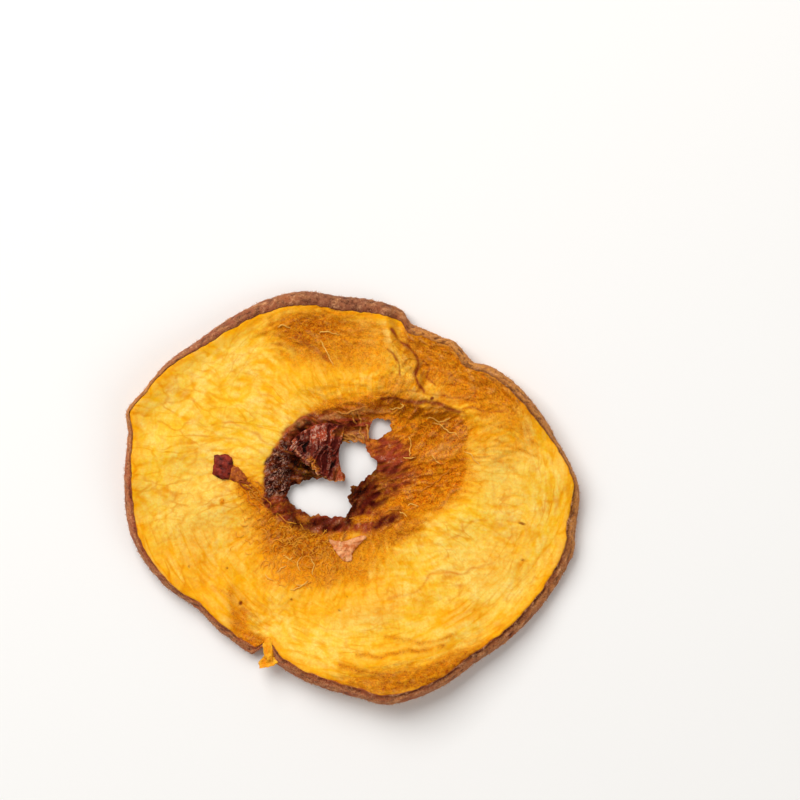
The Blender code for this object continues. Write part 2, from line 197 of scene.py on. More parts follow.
# Stains and colours of the upper face. Each patch is a soft ellipse with a ragged edge:
# middle, half length, half width, turn in degrees and strength.
RICH_PATCHES = (
    (-4.0, 14.8, 8.0, 4.0, 0, 0.6), (13.2, -14.8, 3.4, 1.5, 8, 0.8),
    (17.5, 9.5, 7.0, 3.6, -30, 0.7), (-2.0, -12.0, 11.0, 3.6, 0, 0.65),
    (-8.5, -7.6, 7.5, 4.6, -10, 0.85), (-17.0, -11.0, 8.5, 4.6, -38, 0.8),
    (6.5, -21.0, 11.0, 3.4, 8, 0.6),
    (-14.4, -13.5, 4.6, 1.6, 84, 0.9), (1.0, 13.5, 7.0, 2.0, 4, 0.7),
    (-12.5, 1.0, 3.0, 2.6, 0, 0.6), (19.6, -6.5, 3.0, 5.0, -30, 0.3),
)
AMBER_PATCHES = (
    (-5.3, 21.2, 4.8, 2.2, 2, 0.85), (-2.0, 19.8, 8.2, 3.8, -8, 0.55),
    (13.8, 16.6, 9.2, 4.4, -36, 0.72), (18.2, 11.0, 4.6, 1.8, -32, 0.4),
    (-6.5, -4.6, 6.4, 4.0, -14, 0.95), (-3.2, -8.0, 7.6, 3.4, 4, 0.6),
    (5.4, -4.0, 5.0, 1.7, 24, 0.7), (-12.4, 0.4, 3.0, 1.5, -46, 0.9),
    (-16.3, -0.4, 0.26, 0.42, 0, 0.9), (10.6, -21.4, 5.4, 1.2, 28, 0.6),
    (6.0, -22.6, 8.5, 1.3, 8, 0.55), (-14.0, -15.9, 3.8, 0.8, 84, 0.4),
    (-12.0, -18.2, 2.4, 1.2, -22, 0.8), (9.4, 1.8, 6.2, 3.4, 27, 0.95),
    (10.6, 8.0, 4.4, 3.6, 20, 0.95), (2.0, 11.6, 7.5, 1.5, 6, 0.8),
    (-9.0, -1.0, 3.0, 2.2, 0, 0.9), (6.5, 13.8, 3.6, 1.4, -20, 0.45),
)
BROWN_PATCHES = (
    (-5.6, 21.6, 4.8, 1.6, 2, 0.4), (15.2, 17.4, 9.4, 2.6, -38, 0.22),
    (-13.0, 1.5, 2.4, 0.7, -45, 0.6),
    (8.0, -22.9, 4.5, 0.7, 14, 0.75), (13.4, -20.7, 3.4, 0.7, 36, 0.85),
    (10.0, 10.9, 2.6, 0.6, 2, 0.65),
    (9.2, 20.2, 3.0, 2.2, -40, 0.6), (-7.4, -3.6, 4.4, 1.8, -18, 0.75),
    (4.8, 12.8, 2.0, 0.5, -16, 0.7), (-1.6, 11.6, 2.6, 0.4, 4, 0.4),
    (-7.2, -6.4, 2.6, 0.8, -24, 0.6), (-3.8, -6.9, 4.0, 0.9, 4, 0.45),
    (-10.2, -3.4, 1.6, 1.8, -30, 0.5), (-2.0, -9.0, 1.8, 0.6, 10, 0.35),
    (-4.6, -5.6, 3.4, 1.0, 0, 0.5), (4.6, -3.2, 3.4, 0.9, 20, 0.6),
    (6.4, 11.2, 3.6, 0.8, -8, 0.6), (10.2, 8.2, 3.2, 1.6, 25, 0.5),
    (6.4, 2.4, 3.6, 2.0, 32, 0.4), (11.2, 3.8, 3.4, 0.5, 30, 0.25),
    (-1.5, 10.9, 4.0, 0.5, 8, 0.3),
)
MAUVE_PATCHES = (
    (4.6, 5.0, 2.9, 2.6, 62, 1.0), (5.8, 2.0, 3.0, 1.4, 34, 0.7),
    (-5.4, 8.9, 4.0, 1.3, 27, 0.9), (-8.6, -1.6, 2.4, 1.6, -30, 0.9),
    (-2.8, -3.2, 3.2, 1.0, 0, 1.0), (3.6, -2.7, 2.6, 1.1, 18, 0.9),
    (-9.6, 2.8, 1.6, 4.2, -6, 0.9), (-1.2, 9.8, 1.8, 0.7, 20, 0.8),
    (-10.8, -0.8, 0.8, 1.2, 20, 0.9), (-6.8, 9.2, 3.2, 0.8, 36, 1.0),
)
PALE_PATCHES = (
    (14.2, -18.4, 3.2, 1.0, 40, 0.4), (9.8, -21.2, 2.4, 0.6, 18, 0.5),
    (16.5, -9.0, 6.0, 4.0, -35, 0.5), (18.4, 3.4, 3.6, 5.0, 10, 0.45),
    (5.6, -24.0, 1.8, 0.6, 4, 0.6), (12.2, 12.6, 3.0, 0.8, -8, 0.7),
    (21.8, 5.6, 2.4, 1.6, -40, 0.6), (2.4, -14.0, 6.0, 2.0, 20, 0.6),
    (-19.5, -2.0, 5.0, 7.0, 0, 0.45),
)
PURPLE_PATCHES = (
    (2.6, 0.8, 4.6, 2.4, 50, 0.5), (1.6, -0.1, 3.4, 1.3, 54, 0.9),
    (-8.8, 3.0, 4.0, 2.2, 98, 1.1),
    (-5.0, 6.2, 3.6, 2.8, -20, 1.0), (-3.4, -3.2, 3.0, 0.9, -4, 0.8),
    (4.4, -2.8, 2.0, 0.7, 25, 0.8), (-0.1, 9.2, 1.1, 0.5, 35, 1.0),
    (-7.5, -2.8, 0.8, 0.7, 0, 0.8), (-10.4, -1.2, 0.7, 1.0, 20, 0.6),
    (-8.2, -0.8, 1.1, 1.6, 20, 0.7), (0.6, 8.5, 1.6, 0.5, 10, 0.3),
)
# The darkest lining: the dark left wall and the ramp by the tear, with painted shade in the
# recess under the flap.
BLACK_AND_SHADE_PATCHES = (
    (-5.9, 3.4, 2.8, 2.2, -45, 1.1), (0.5, -0.1, 3.0, 1.0, 58, 0.75),
    (-8.6, 2.6, 1.6, 3.0, 8, 0.9), (-3.4, -3.2, 2.0, 0.42, -4, 0.5),
    (4.3, -2.8, 1.2, 0.28, 25, 0.4),
)
# The charred lip of the ramp along the large tear.
CHARRED_LINES = (
    (((-0.5, -2.7), (-0.2, -1.6), (-0.1, -0.4), (0.3, 0.6), (1.0, 1.5)), 0.75, 1.1),
    (((1.0, 1.5), (2.0, 2.3), (3.0, 3.1)), 0.5, 0.8),
)
# Bleached strands, and specks of dirt.
PALE_STRANDS = (
    (0.3, 7.6, 1.7, 0.7, 8, 0.6), (-1.4, 10.4, 3.6, 0.4, 10, 0.5),
    (11.2, 5.8, 2.6, 1.0, 15, 0.5), (12.6, 7.7, 1.2, 0.5, 0, 0.4),
    (2.4, 11.0, 3.0, 0.3, -6, 0.5), (-6.8, 9.2, 1.4, 0.4, 36, 0.5),
    (10.8, 20.2, 3.0, 0.5, -42, 0.4), (15.6, 16.6, 3.4, 0.5, -38, 0.45),
    (12.4, 15.4, 1.6, 0.4, -30, 0.35),
)
DARK_SPECKS = (
    (21.3, -3.2, 0.5, 0.14, -18, 0.8), (-14.0, -13.2, 0.28, 0.2, 60, 1.0),
    (-15.7, -8.8, 0.16, 0.12, 0, 0.8),
    (21.4, -7.8, 0.2, 0.12, 0, 0.7), (-20.5, -8.6, 0.16, 0.2, 0, 0.6),
    (-7.6, -12.7, 0.18, 0.14, 0, 0.8), (-0.6, -12.3, 0.16, 0.12, 0, 0.5),
    (-1.6, -14.0, 0.2, 0.14, 0, 0.6), (10.0, 12.5, 0.3, 0.2, 30, 1.0),
)
# Pulls on the direction of the fibres: place, spread, direction in degrees, weight.
GRAIN_PULLS = (
    (11.0, -9.0, 7.0, 10, 1.6), (1.0, 11.0, 4.0, 8, 3.0), (10.5, 8.5, 3.0, 35, 3.0),
    (7.0, 1.2, 4.5, 31, 4.0), (-5.0, 19.5, 4.0, -38, 1.6), (-18.0, -10.0, 6.0, 80, 0.9),
    (-4.5, 6.5, 3.5, -40, 3.0), (0.0, -16.0, 5.0, 4, 1.4), (-4.0, -3.3, 3.0, 0, 2.5),
)
# How soft the edge of the hollow's colours is, by bearing in degrees.
HOLLOW_SOFTNESS = (
    (0, 1.6), (13, 0.4), (32, 0.4), (60, 1.0), (110, 0.6), (180, 0.5), (230, 0.9), (285, 1.3),
    (330, 2.2),
)
# Parts of the hollow's rim that the lining left bare.
CLEAR_PATCHES = (
    (1.4, -2.7, 1.9, 0.5, 6, 1.0), (4.6, -1.6, 1.2, 0.4, 25, 0.6),
    (-6.2, -2.6, 1.0, 0.4, -20, 0.7),
)
# Where the flesh is crumpled, matted with curls, and crossed by wrinkles.
CRUMPLED = (
    (18.4, 8.6, 6.0, 5.0, -20, 0.4), (8.0, 18.6, 3.0, 3.0, 0, 1.0),
    (13.8, 16.6, 9.0, 4.0, -36, 1.0), (7.6, 16.6, 2.8, 4.6, -20, 1.0),
    (11.0, 10.5, 5.0, 1.6, -30, 0.8), (-4.0, 20.6, 7.0, 3.4, 0, 0.9),
    (1.0, 13.6, 8.0, 1.6, 4, 0.6),
    (5.0, -22.2, 9.0, 1.8, 8, 0.9), (14.0, -18.4, 3.5, 1.4, 40, 0.4),
    (-13.4, -16.5, 3.0, 1.8, 70, 0.8),
    (-6.0, -4.6, 6.0, 3.4, -14, 1.0), (5.4, -4.0, 4.4, 1.8, 24, 1.0),
)
MATTED = (
    (-6.0, -6.6, 7.0, 4.2, -6, 1.0), (-12.2, -1.2, 2.0, 2.6, 0, 0.8),
)
RETICULATE = ((-19.0, -3.0, 11.0, 7.0, 80, 1.0), (20.0, -3.0, 6.0, 8.0, 0, 0.8))

# The layers of colour over the plain flesh, from the lowest up, and the wrinkles' masks.
TINTS = (
    "pale", "rich", "crease", "amber", "brown", "mauve", "purple", "black", "strand", "ash_and_highlight",
)
MASKS = ("fan", "ring", "creased", "hollowed")
LAYERS = (*TINTS, *MASKS)

# The flap of lining that hangs over the recess: along its root, its middle and its free
# edge, as places with heights over the hollow's floor.
FLAP_LINES = (
    ((-8.3, 6.0, 2.3), (-7.2, 7.6, 2.6), (-5.6, 8.7, 2.6), (-3.6, 9.4, 2.4), (-1.0, 9.1, 1.9)),
    ((-7.9, 5.9, 2.4), (-6.6, 6.3, 2.4), (-5.2, 6.6, 2.3), (-3.4, 7.4, 2.1), (-1.2, 7.7, 1.8)),
    ((-7.4, 5.7, 2.4), (-6.2, 5.0, 2.3), (-4.9, 5.0, 2.1), (-3.2, 5.0, 1.9), (-1.7, 5.3, 1.6)),
    ((-7.2, 5.6, 2.3), (-6.1, 4.4, 2.1), (-4.6, 3.3, 1.9), (-3.0, 2.2, 1.6), (-1.1, 2.1, 1.4)),
)
FLAP_STEPS = 150
FLAP_THICKNESS = 0.3
FLAP_LENGTH = 7.5
# Its dark middle, its pinkish back with painted highlights along its root and upper edge,
# its red tip, and the clear orange part and the pale ridge along its left edge, partly a
# painted highlight.
FLAP_DARK = (
    (-6.0, 6.7, 1.3, 1.3, 30, 1.0), (-2.7, 4.8, 0.6, 1.6, 8, 1.0), (-4.2, 6.0, 1.6, 0.6, 10, 0.7),
)
FLAP_PINK_HIGHLIGHTS = (
    (-3.0, 7.9, 2.4, 0.8, 12, 1.0), (-5.0, 9.0, 1.6, 0.6, 20, 0.9),
    (-7.8, 6.6, 0.5, 1.0, -40, 1.0),
)
FLAP_RED = ((-1.6, 2.8, 0.7, 1.1, -12, 1.1),)
FLAP_ORANGE = ((-4.8, 4.2, 0.45, 1.0, 32, 0.9), (-1.4, 8.3, 1.0, 0.5, 20, 0.7))
FLAP_RIDGE = ((
    ((-7.6, 7.0), (-7.2, 6.3), (-6.6, 5.5), (-6.1, 4.9), (-5.3, 4.6), (-4.6, 3.5), (-3.8, 2.3)),
    0.14, 0.9,
),)

# Outlines of the flakes that dried on to the slice.
RED_SCRAP = (
    (-17.3, 5.4), (-16.2, 5.5), (-15.3, 5.4), (-15.0, 4.4), (-15.1, 3.4), (-15.5, 2.4),
    (-16.1, 2.3), (-16.8, 2.6), (-17.5, 3.2), (-17.3, 4.2),
)
SCRAP_TAIL = (
    (-15.2, 4.4), (-14.2, 3.8), (-13.4, 2.9), (-13.2, 2.4), (-13.6, 1.9), (-14.1, 1.9),
    (-14.8, 2.2), (-15.6, 2.6),
)
PINK_CRUMB = (
    (-2.9, -5.1), (-1.9, -5.4), (-0.7, -5.3), (0.8, -4.8), (1.8, -4.8), (0.8, -5.9),
    (0.1, -6.8), (-0.1, -7.7), (-1.0, -7.9), (-1.8, -7.0), (-2.5, -6.1),
)
FLAKE_FACETS = 7
FLAKE_RINGS = 16
# The flakes' outlines, thicknesses and seeds, and their materials with two colours.
FLAKES = {
    "red_scrap": (RED_SCRAP, 0.75, 3, "dried_red_scrap", "#9A3422", "#3E0E0C"),
    "red_scrap_tail": (SCRAP_TAIL, 0.35, 8, "dried_scrap_tail", "#C46A1E", "#7A2A14"),
    "pink_crumb": (PINK_CRUMB, 0.7, 14, "dried_pink_crumb", "#F6B47C", "#CC6C30"),
}
# The torn tag of flesh and its neck: place, size, turn in degrees, how far each stands
# over the flesh, seed, broken facets, and how square it is.
TAG_LUMPS = {
    "flesh_tag": ((-10.6, -20.5), (2.4, 1.7, 1.5), 28, -0.7, 5, 4, 0.7),
    "flesh_tag_neck": ((-10.4, -19.0), (1.5, 2.9, 1.3), 4, 0.0, 9, 2, 0.6),
}
LUMP_CUTS = 27

# Pale curly fibres that lie on the slice, as points seen from above.
CURLY_FIBRES = (
    ((-9.4, 21.5), (-8.6, 21.7), (-7.7, 21.2)), ((-4.3, 20.5), (-3.6, 20.9), (-1.4, 20.5)),
    ((-4.0, 19.8), (-3.4, 18.6), (-2.9, 17.8), (-2.3, 16.5)),
    ((9.3, 9.8), (9.7, 10.2), (10.3, 9.9), (11.1, 9.6), (11.8, 9.8), (12.3, 10.1)),
    ((10.1, 9.4), (11.0, 9.2), (11.9, 8.4), (12.8, 8.2), (13.4, 7.6)),
    ((7.1, 7.8), (7.4, 6.8), (7.2, 6.0), (7.3, 5.1)),
    ((6.4, 5.1), (7.2, 5.0), (8.0, 5.1)), ((10.0, 5.4), (10.5, 4.8), (10.9, 4.2)),
    ((4.6, 11.3), (5.8, 11.2), (6.4, 11.6), (6.1, 12.0)),
    ((6.9, -1.0), (7.6, -0.8), (8.3, -1.1)), ((5.8, -1.8), (6.4, -1.9), (6.8, -2.3)),
    ((14.0, 5.8), (14.7, 5.6), (15.3, 4.9), (16.0, 4.1)),
    ((-9.4, -9.3), (-8.8, -8.8), (-8.3, -8.5)),
    ((-5.1, -7.6), (-4.8, -8.6), (-5.0, -9.6)), ((-7.1, -10.9), (-6.2, -10.8), (-5.5, -10.4)),
    ((-10.9, -9.6), (-10.4, -10.2), (-9.9, -10.3)), ((-7.8, -11.5), (-6.6, -11.2), (-5.6, -10.5)),
    ((-6.3, -7.3), (-6.9, -8.2), (-6.5, -9.2)), ((-8.6, -7.2), (-7.9, -7.6), (-7.5, -7.3)),
)
# Pale strands of torn lining between the two tears, and strands from the red scrap.
LUMP_STRANDS = (
    ((1.0, 9.0), (1.0, 8.2), (1.4, 7.5), (1.5, 6.9)),
    ((1.7, 9.3), (1.95, 8.5), (1.9, 7.8), (2.2, 7.1)),
    ((-1.8, 8.2), (-0.9, 7.9), (-0.2, 7.4), (0.6, 7.0)), ((-1.6, 7.7), (-0.7, 7.4), (0.2, 7.1)),
    ((-1.9, 7.3), (-1.1, 7.2), (-0.3, 6.9)), ((-0.4, 8.1), (0.3, 7.7), (0.7, 7.2)),
    ((0.0, 10.9), (0.2, 10.0), (0.5, 9.3)), ((0.8, 11.0), (0.9, 10.2), (1.1, 9.4)),
    ((-2.1, 10.9), (-0.9, 10.7), (0.4, 11.1), (1.6, 11.4)),
)
RED_STRANDS = (
    ((-15.2, 3.6), (-14.5, 3.0), (-13.9, 2.2), (-13.2, 1.7)),
    ((-15.0, 3.0), (-14.2, 2.6), (-13.5, 2.5), (-12.9, 1.6), (-12.4, 0.8)),
    ((-14.6, 2.7), (-14.0, 1.9), (-13.4, 1.2), (-12.7, 1.2)),
    ((-15.3, 2.9), (-14.3, 2.2), (-13.3, 2.0), (-12.6, 1.8)),
)
AMBER_STRANDS = (
    ((-13.4, 2.0), (-12.6, 1.2), (-12.0, 0.2), (-11.2, -0.4)),
    ((-13.0, 1.2), (-12.4, 0.2), (-11.8, -0.2), (-10.8, -1.4)),
    ((-12.6, 1.8), (-11.8, 1.0), (-11.4, 0.2), (-10.6, -0.2), (-10.2, -1.2)),
    ((-13.4, 0.9), (-12.8, -0.4), (-12.0, -1.0), (-11.4, -2.2)),
    ((-12.2, 2.2), (-11.4, 1.6), (-10.8, 1.2)), ((-9.4, -1.9), (-8.2, -2.9), (-7.0, -3.3)),
    ((-0.4, -2.5), (0.8, -2.8), (2.2, -2.5)), ((0.4, -3.2), (1.6, -3.0), (2.8, -2.9)),
    ((8.2, 0.6), (9.8, 1.6), (11.2, 2.6), (12.4, 3.8)), ((4.0, -1.9), (5.2, -1.4), (6.4, -1.5)),
)
# The loose fibres: lines, how much wider than the curly ones, and their materials
# with a light and a dark colour.
LOOSE_FIBRES = {
    "curly_fibres": (CURLY_FIBRES, 1.0, "pale_peach_fibre", "#FFCE66", "#E09A30"),
    "lump_strands": (LUMP_STRANDS, 1.6, "torn_lining_strand", "#F2A844", "#8A4418"),
    "red_strands": (RED_STRANDS, 1.4, "red_peach_strand", "#B45A20", "#7A2A14"),
    "amber_strands": (AMBER_STRANDS, 0.9, "amber_peach_strand", "#F0A030", "#B0540C"),
}
FIBRE_SEED = 900
FIBRE_STEPS = 8
# How far a fibre wanders sideways and arches up, in millimetres.
FIBRE_WANDER = 0.16
FIBRE_ARCH = 0.12
# Matted curls and fuzz: how many to a square metre where they are densest, and how
# wide each is in millimetres, which is wider than a real hair, so that it shows.
CURL_DENSITY = 5.0e6
CURL_WIDTH = 0.08
FUZZ_DENSITY = 2.6e7
FUZZ_WIDTH = 0.045
# They are turned at random by up to this angle.
FULL_TURN = 6.28

# Seams: how far the flesh runs in under the lining and out under the skin, and how
# deep it goes there.
FLESH_REACH_IN = 0.4
FLESH_REACH_OUT = 0.2
FLESH_TUCK_IN = 0.4
FLESH_TUCK_OUT = 0.45
# The skin's lip stands over the flesh, and the lining runs out over it and down.
SKIN_LIP = 0.12
LINING_REACH = 0.5
LINING_TUCK = 0.45
# The levels between which the tears are cut right through the slice.
CUT_LEVELS = (-2.0, 9.0)

# Maps of the faces: the distance between their points, and how far they reach.
CELL = 0.1
MAP_REACH = (31.0, 28.5)
NOISE_SIZE = 256
# What brings gradient noise to about -1 to 1.
NOISE_GAIN = 1.6
# How far out a patch starts to fade, as a share of its size, and over what share.
PATCH_EDGE = 1.35
PATCH_FADE = 0.8
# How far a drawn line wanders, in millimetres.
LINE_WANDER = 0.25

# Steps round the pieces, and rows across them.
FLESH_STEPS = 880
FLESH_ROWS = 102
UNDER_STEPS = 720
UNDER_ROWS = 84
SKIN_STEPS = 1400
LINING_STEPS = 720
LINING_ROWS = 84
# Share of the way out at which the lining starts, inside the large tear.
LINING_START = 0.12
# Radius of the circle along which noise is read for the hollow's torn edge.
TORN_CIRCLE = 11.0


def linear(hex_colour):
    """Turn an sRGB hex colour into linear red, green and blue."""
    parts = [int(hex_colour[place:place + 2], 16) / 255.0 for place in (1, 3, 5)]
    return tuple(p / 12.92 if p <= 0.04045 else ((p + 0.055) / 1.055) ** 2.4 for p in parts)


def size_property(name, description, default):
    """A length that a user may change, in metres with millimetre defaults."""
    return bpy.props.FloatProperty(
        name=name, description=description, default=default * MM, subtype="DISTANCE",
        unit="LENGTH", precision=6,
    )


def colour_property(name, description, hex_colour):
    return bpy.props.FloatVectorProperty(
        name=name, description=description, default=linear(hex_colour), size=3,
        min=0.0, max=1.0, subtype="COLOR",
    )


class PeachSizes(bpy.types.PropertyGroup):
    """Sizes of the fine relief and of the fibres."""

    crease_depth: size_property("Crease depth", "Depth of the thin wrinkles", 0.035)
    blotch_height: size_property("Blotch height", "Height of the puckers between wrinkles", 0.028)
    streak_height: size_property("Streak height", "Height of the finest fibres", 0.014)
    strand_height: size_property("Strand height", "Height of the strands in the hollow", 0.08)
    crumple_height: size_property("Crumple height", "Height of the hollow's crumpled folds", 0.2)
    crumb_height: size_property("Crumb height", "Roughness of the torn lining", 0.14)
    skin_wrinkle: size_property("Skin wrinkle", "Depth of the skin's wrinkles", 0.17)
    fibre_width: size_property("Fibre width", "Diameter of the pale curly fibres", 0.14)
    curl_length: size_property("Curl length", "Length of the short curled fibres", 0.85)
    fuzz_length: size_property("Fuzz length", "Length of the hairs on the skin", 0.24)


class PeachColours(bpy.types.PropertyGroup):
    """Colours of the dried flesh, skin and lining."""

    flesh: colour_property("Flesh", "Dried yellow flesh", "#FACC22")
    # Pale is partly a painted highlight on raised puckers and puffed cells.
    pale: colour_property("Pale flesh", "Puckers where the flesh is palest", "#FCE486")
    # Rich is also painted shade in the low ground between puckers.
    rich: colour_property("Rich flesh", "Deeper orange yellow near skin and stains", "#FAB200")
    # Wrinkle colour is partly painted shade in the wrinkles' grooves.
    crease: colour_property("Wrinkle", "Thin lines between the puckers", "#DC7E00")
    amber: colour_property("Amber", "Clear orange flesh round the stone", "#E47A00")
    # Brown is also painted shade in the troughs of crumpled folds.
    brown: colour_property("Brown", "Browned flesh and strands", "#8A3200")
    mauve: colour_property("Mauve", "Reddened flesh next to the stone", "#B04E34")
    # Purple is also painted shade in the troughs of the crumpled lining and the flap's creases.
    purple: colour_property("Purple", "Dark lining of the hollow", "#621A14")
    # Black is also painted shade in the recess under the flap and in the deepest folds.
    black: colour_property("Black", "Deepest folds of the lining", "#140604")
    # Pale strand is also a painted highlight on fold crests and along the flap's edges.
    strand: colour_property("Pale strand", "Bleached strands in and round the hollow", "#F4BE7A")
    # The golden fibre colour is also a painted highlight on thin ridges in the crumpled flesh and
    # the hollow.
    curl: colour_property("Golden fibres", "Matted fibres over the amber flesh", "#FFB422")
    # The ashy colour is also a painted highlight on the crests of mauve folds and on the flap's
    # ridges.
    ash_and_highlight: colour_property("Ashy flecks", "Greyed flecks and edges of the lining", "#D8B0A2")
    skin: colour_property("Skin", "Dried brown skin", "#AC6036")
    skin_red: colour_property("Red skin", "Blushed side of the skin", "#B05434")
    skin_grey: colour_property("Grey skin", "Skin under dense fuzz", "#824E38")
    skin_tan: colour_property("Tan skin", "Skin that merges with browned flesh", "#DA9240")
    # Dark skin is also painted shade at the bottom of the skin's wrinkles and along its inner
    # edge.
    skin_dark: colour_property("Dark skin", "Bottom of the skin's wrinkles", "#481A0C")
    # Fuzz colour is also laid on the skin's wrinkle ridges and outer side as a painted highlight.
    fuzz: colour_property("Fuzz", "Short hairs on the skin", "#DEA070")
    floor: colour_property("Table", "Plain pale table", "#F6F4F1")


def sizes():
    return bpy.context.scene.peach_sizes


def colours():
    return bpy.context.scene.peach_colours


def unit(value):
    """Keep values between 0 and 1."""
    return np.clip(value, 0.0, 1.0)


def smooth(value):
    """Ease from 0 to 1 as value goes from 0 to 1."""
    value = unit(value)
    return value * value * (3.0 - 2.0 * value)


def bell(distance, width):
    """Fall softly from 1 at no distance to a third at the width and to nothing beyond."""
    return np.exp(-((distance / width) ** 2))


def round_curve(bearings, values, at):
    """A smooth closed curve through values at bearings, read at other bearings.

    Its slope at each point is kept low enough that it never swings past a value.
    """
    order = np.argsort(bearings)
    turn = 2.0 * math.pi
    bearings = bearings[order]
    values = values[order]
    bearings = np.concatenate((bearings[-2:] - turn, bearings, bearings[:2] + turn))
    values = np.concatenate((values[-2:], values, values[:2]))
    rise = np.diff(values) / np.diff(bearings)
    product = rise[:-1] * rise[1:]
    total = np.where(product > 0.0, rise[:-1] + rise[1:], 1.0)
    slopes = np.zeros(len(values))
    slopes[1:-1] = np.where(product > 0.0, 2.0 * product / total, 0.0)
    at = (at - bearings[2]) % turn + bearings[2]
    piece = np.clip(np.searchsorted(bearings, at, side="right") - 1, 0, len(bearings) - 2)
    width = bearings[piece + 1] - bearings[piece]
    t = (at - bearings[piece]) / width
    start = (1.0 + 2.0 * t) * (1.0 - t) ** 2 * values[piece]
    start += t * (1.0 - t) ** 2 * width * slopes[piece]
    end = t * t * (3.0 - 2.0 * t) * values[piece + 1]
    end += t * t * (t - 1.0) * width * slopes[piece + 1]
    return start + end


def edge_radius(points, bearing):
    """Distance from the hollow's centre to an outline, at each bearing."""
    offset = points - HOLLOW_CENTRE
    bearings = np.arctan2(offset[:, 1], offset[:, 0])
    return round_curve(bearings, np.hypot(offset[:, 0], offset[:, 1]), bearing)


def by_bearing(table, bearing):
    """Read a table of bearings in degrees and values, at each bearing."""
    table = np.array(table, dtype=float)
    return round_curve(np.radians(table[:, 0]), table[:, 1], bearing)


def line_distance(x, y, line):
    """Distance to a line of points, which side of it a place is on, and how far along."""
    nearest = np.full(x.shape, 1000.0)
    side = np.zeros(x.shape)
    along = np.zeros(x.shape)
    spans = len(line) - 1
    for number in range(spans):
        start = line[number]
        run = line[number + 1] - start
        share = ((x - start[0]) * run[0] + (y - start[1]) * run[1]) / (run @ run)
        share = unit(share)
        off_x = x - start[0] - share * run[0]
        off_y = y - start[1] - share * run[1]
        distance = np.hypot(off_x, off_y)
        closer = distance < nearest
        nearest = np.where(closer, distance, nearest)
        side = np.where(closer, np.sign(run[0] * off_y - run[1] * off_x), side)
        along = np.where(closer, (number + share) / spans, along)
    return nearest, side, along


def lift(x, y):
    """Height of the bent slice's underside before the table flattens it."""
    reach = np.hypot(x, y) / CURL_REACH
    bearing = np.arctan2(y, x)
    curl = CURL * reach**1.6 * np.cos(CURL_LOBES * (bearing - CURL_TOP))
    twist = TWIST * reach**2 * np.cos(2.0 * (bearing - TWIST_TOP))
    return LIFT + curl + twist


def folds(x, y):
    """Height that the ridge, the browned corner and the groove add to the upper face."""
    distance, side, along = line_distance(x, y, RIDGE_LINE)
    fade = smooth((1.0 - along) * 4.0)
    ridge = RIDGE_HEIGHT * bell(distance, RIDGE_HALF_WIDTH) * fade
    beyond = np.where(side > 0, smooth(distance / TERRACE_SLOPE), 0.0)
    terrace = -TERRACE_DROP * beyond * fade
    distance, side, along = line_distance(x, y, GROOVE_LINE)
    depth = GROOVE_DEPTH * smooth(0.25 + along)
    groove = -depth * bell(distance, GROOVE_HALF_WIDTH)
    return ridge + terrace + groove


def unevenness(x, y, layer):
    """Smooth dents and swellings, from -1 to 1, with another pattern in each layer."""
    places = np.stack((x, y), axis=-1).reshape(-1, 2) / UNEVEN_SPACING
    found = [noise.noise(Vector((u, v, layer))) for u, v in places]
    return np.array(found).reshape(np.shape(x))


def gradient_noise(x, y, seed, wrap=NOISE_SIZE):
    """Smooth noise of about -1 to 1 with a spacing of 1, repeating after wrap in x."""
    turn = np.random.default_rng(seed).uniform(0.0, 2.0 * math.pi, (NOISE_SIZE, NOISE_SIZE))
    slope_x = np.cos(turn)
    slope_y = np.sin(turn)
    cell_x = np.floor(x).astype(int)
    cell_y = np.floor(y).astype(int)
    total = np.zeros(np.shape(x))
    for step_x in (0, 1):
        for step_y in (0, 1):
            off_x = x - cell_x - step_x
            off_y = y - cell_y - step_y
            column = (cell_x + step_x) % wrap
            row = (cell_y + step_y) % NOISE_SIZE
            value = slope_x[column, row] * off_x + slope_y[column, row] * off_y
            total += value * (1.0 - smooth(np.abs(off_x))) * (1.0 - smooth(np.abs(off_y)))
    return total * NOISE_GAIN


def layered_noise(x, y, spacing, seed, layers=3):
    """Noise with finer and weaker layers on top."""
    total = np.zeros(np.shape(x))
    for layer in range(layers):
        scale = 2.0**layer / spacing
        total += gradient_noise(x * scale, y * scale, seed + layer) / 2.0**layer
    return total


class Map:
    """The grid of places that the faces' maps are worked out on."""

    across = np.arange(-MAP_REACH[0], MAP_REACH[0] + CELL / 2.0, CELL)
    along = np.arange(-MAP_REACH[1], MAP_REACH[1] + CELL / 2.0, CELL)
    x, y = np.meshgrid(across, along)

    @staticmethod
    def read(values, x, y):
        """Read a map between its points."""
        column = np.clip((x - Map.across[0]) / CELL, 0.0, len(Map.across) - 1.001)
        row = np.clip((y - Map.along[0]) / CELL, 0.0, len(Map.along) - 1.001)
        left = column.astype(int)
        low = row.astype(int)
        u = column - left
        v = row - low
        bottom = values[low, left] * (1.0 - u) + values[low, left + 1] * u
        top = values[low + 1, left] * (1.0 - u) + values[low + 1, left + 1] * u
        return bottom * (1.0 - v) + top * v


def band_radii(bearing):
    """Radii of the hollow's edge, of the skin's inner edge and of the outline."""
    hollow = edge_radius(HOLLOW_EDGE, bearing)
    outer = edge_radius(OUTER_EDGE, bearing)
    return hollow, outer - by_bearing(SKIN_BAND, bearing), outer


def polar(x, y):
    """Bearing and radius about the hollow's centre, and the radii of the edges there."""
    off_x = x - HOLLOW_CENTRE[0]
    off_y = y - HOLLOW_CENTRE[1]
    bearing = np.arctan2(off_y, off_x)
    return bearing, np.hypot(off_y, off_x), *band_radii(bearing)


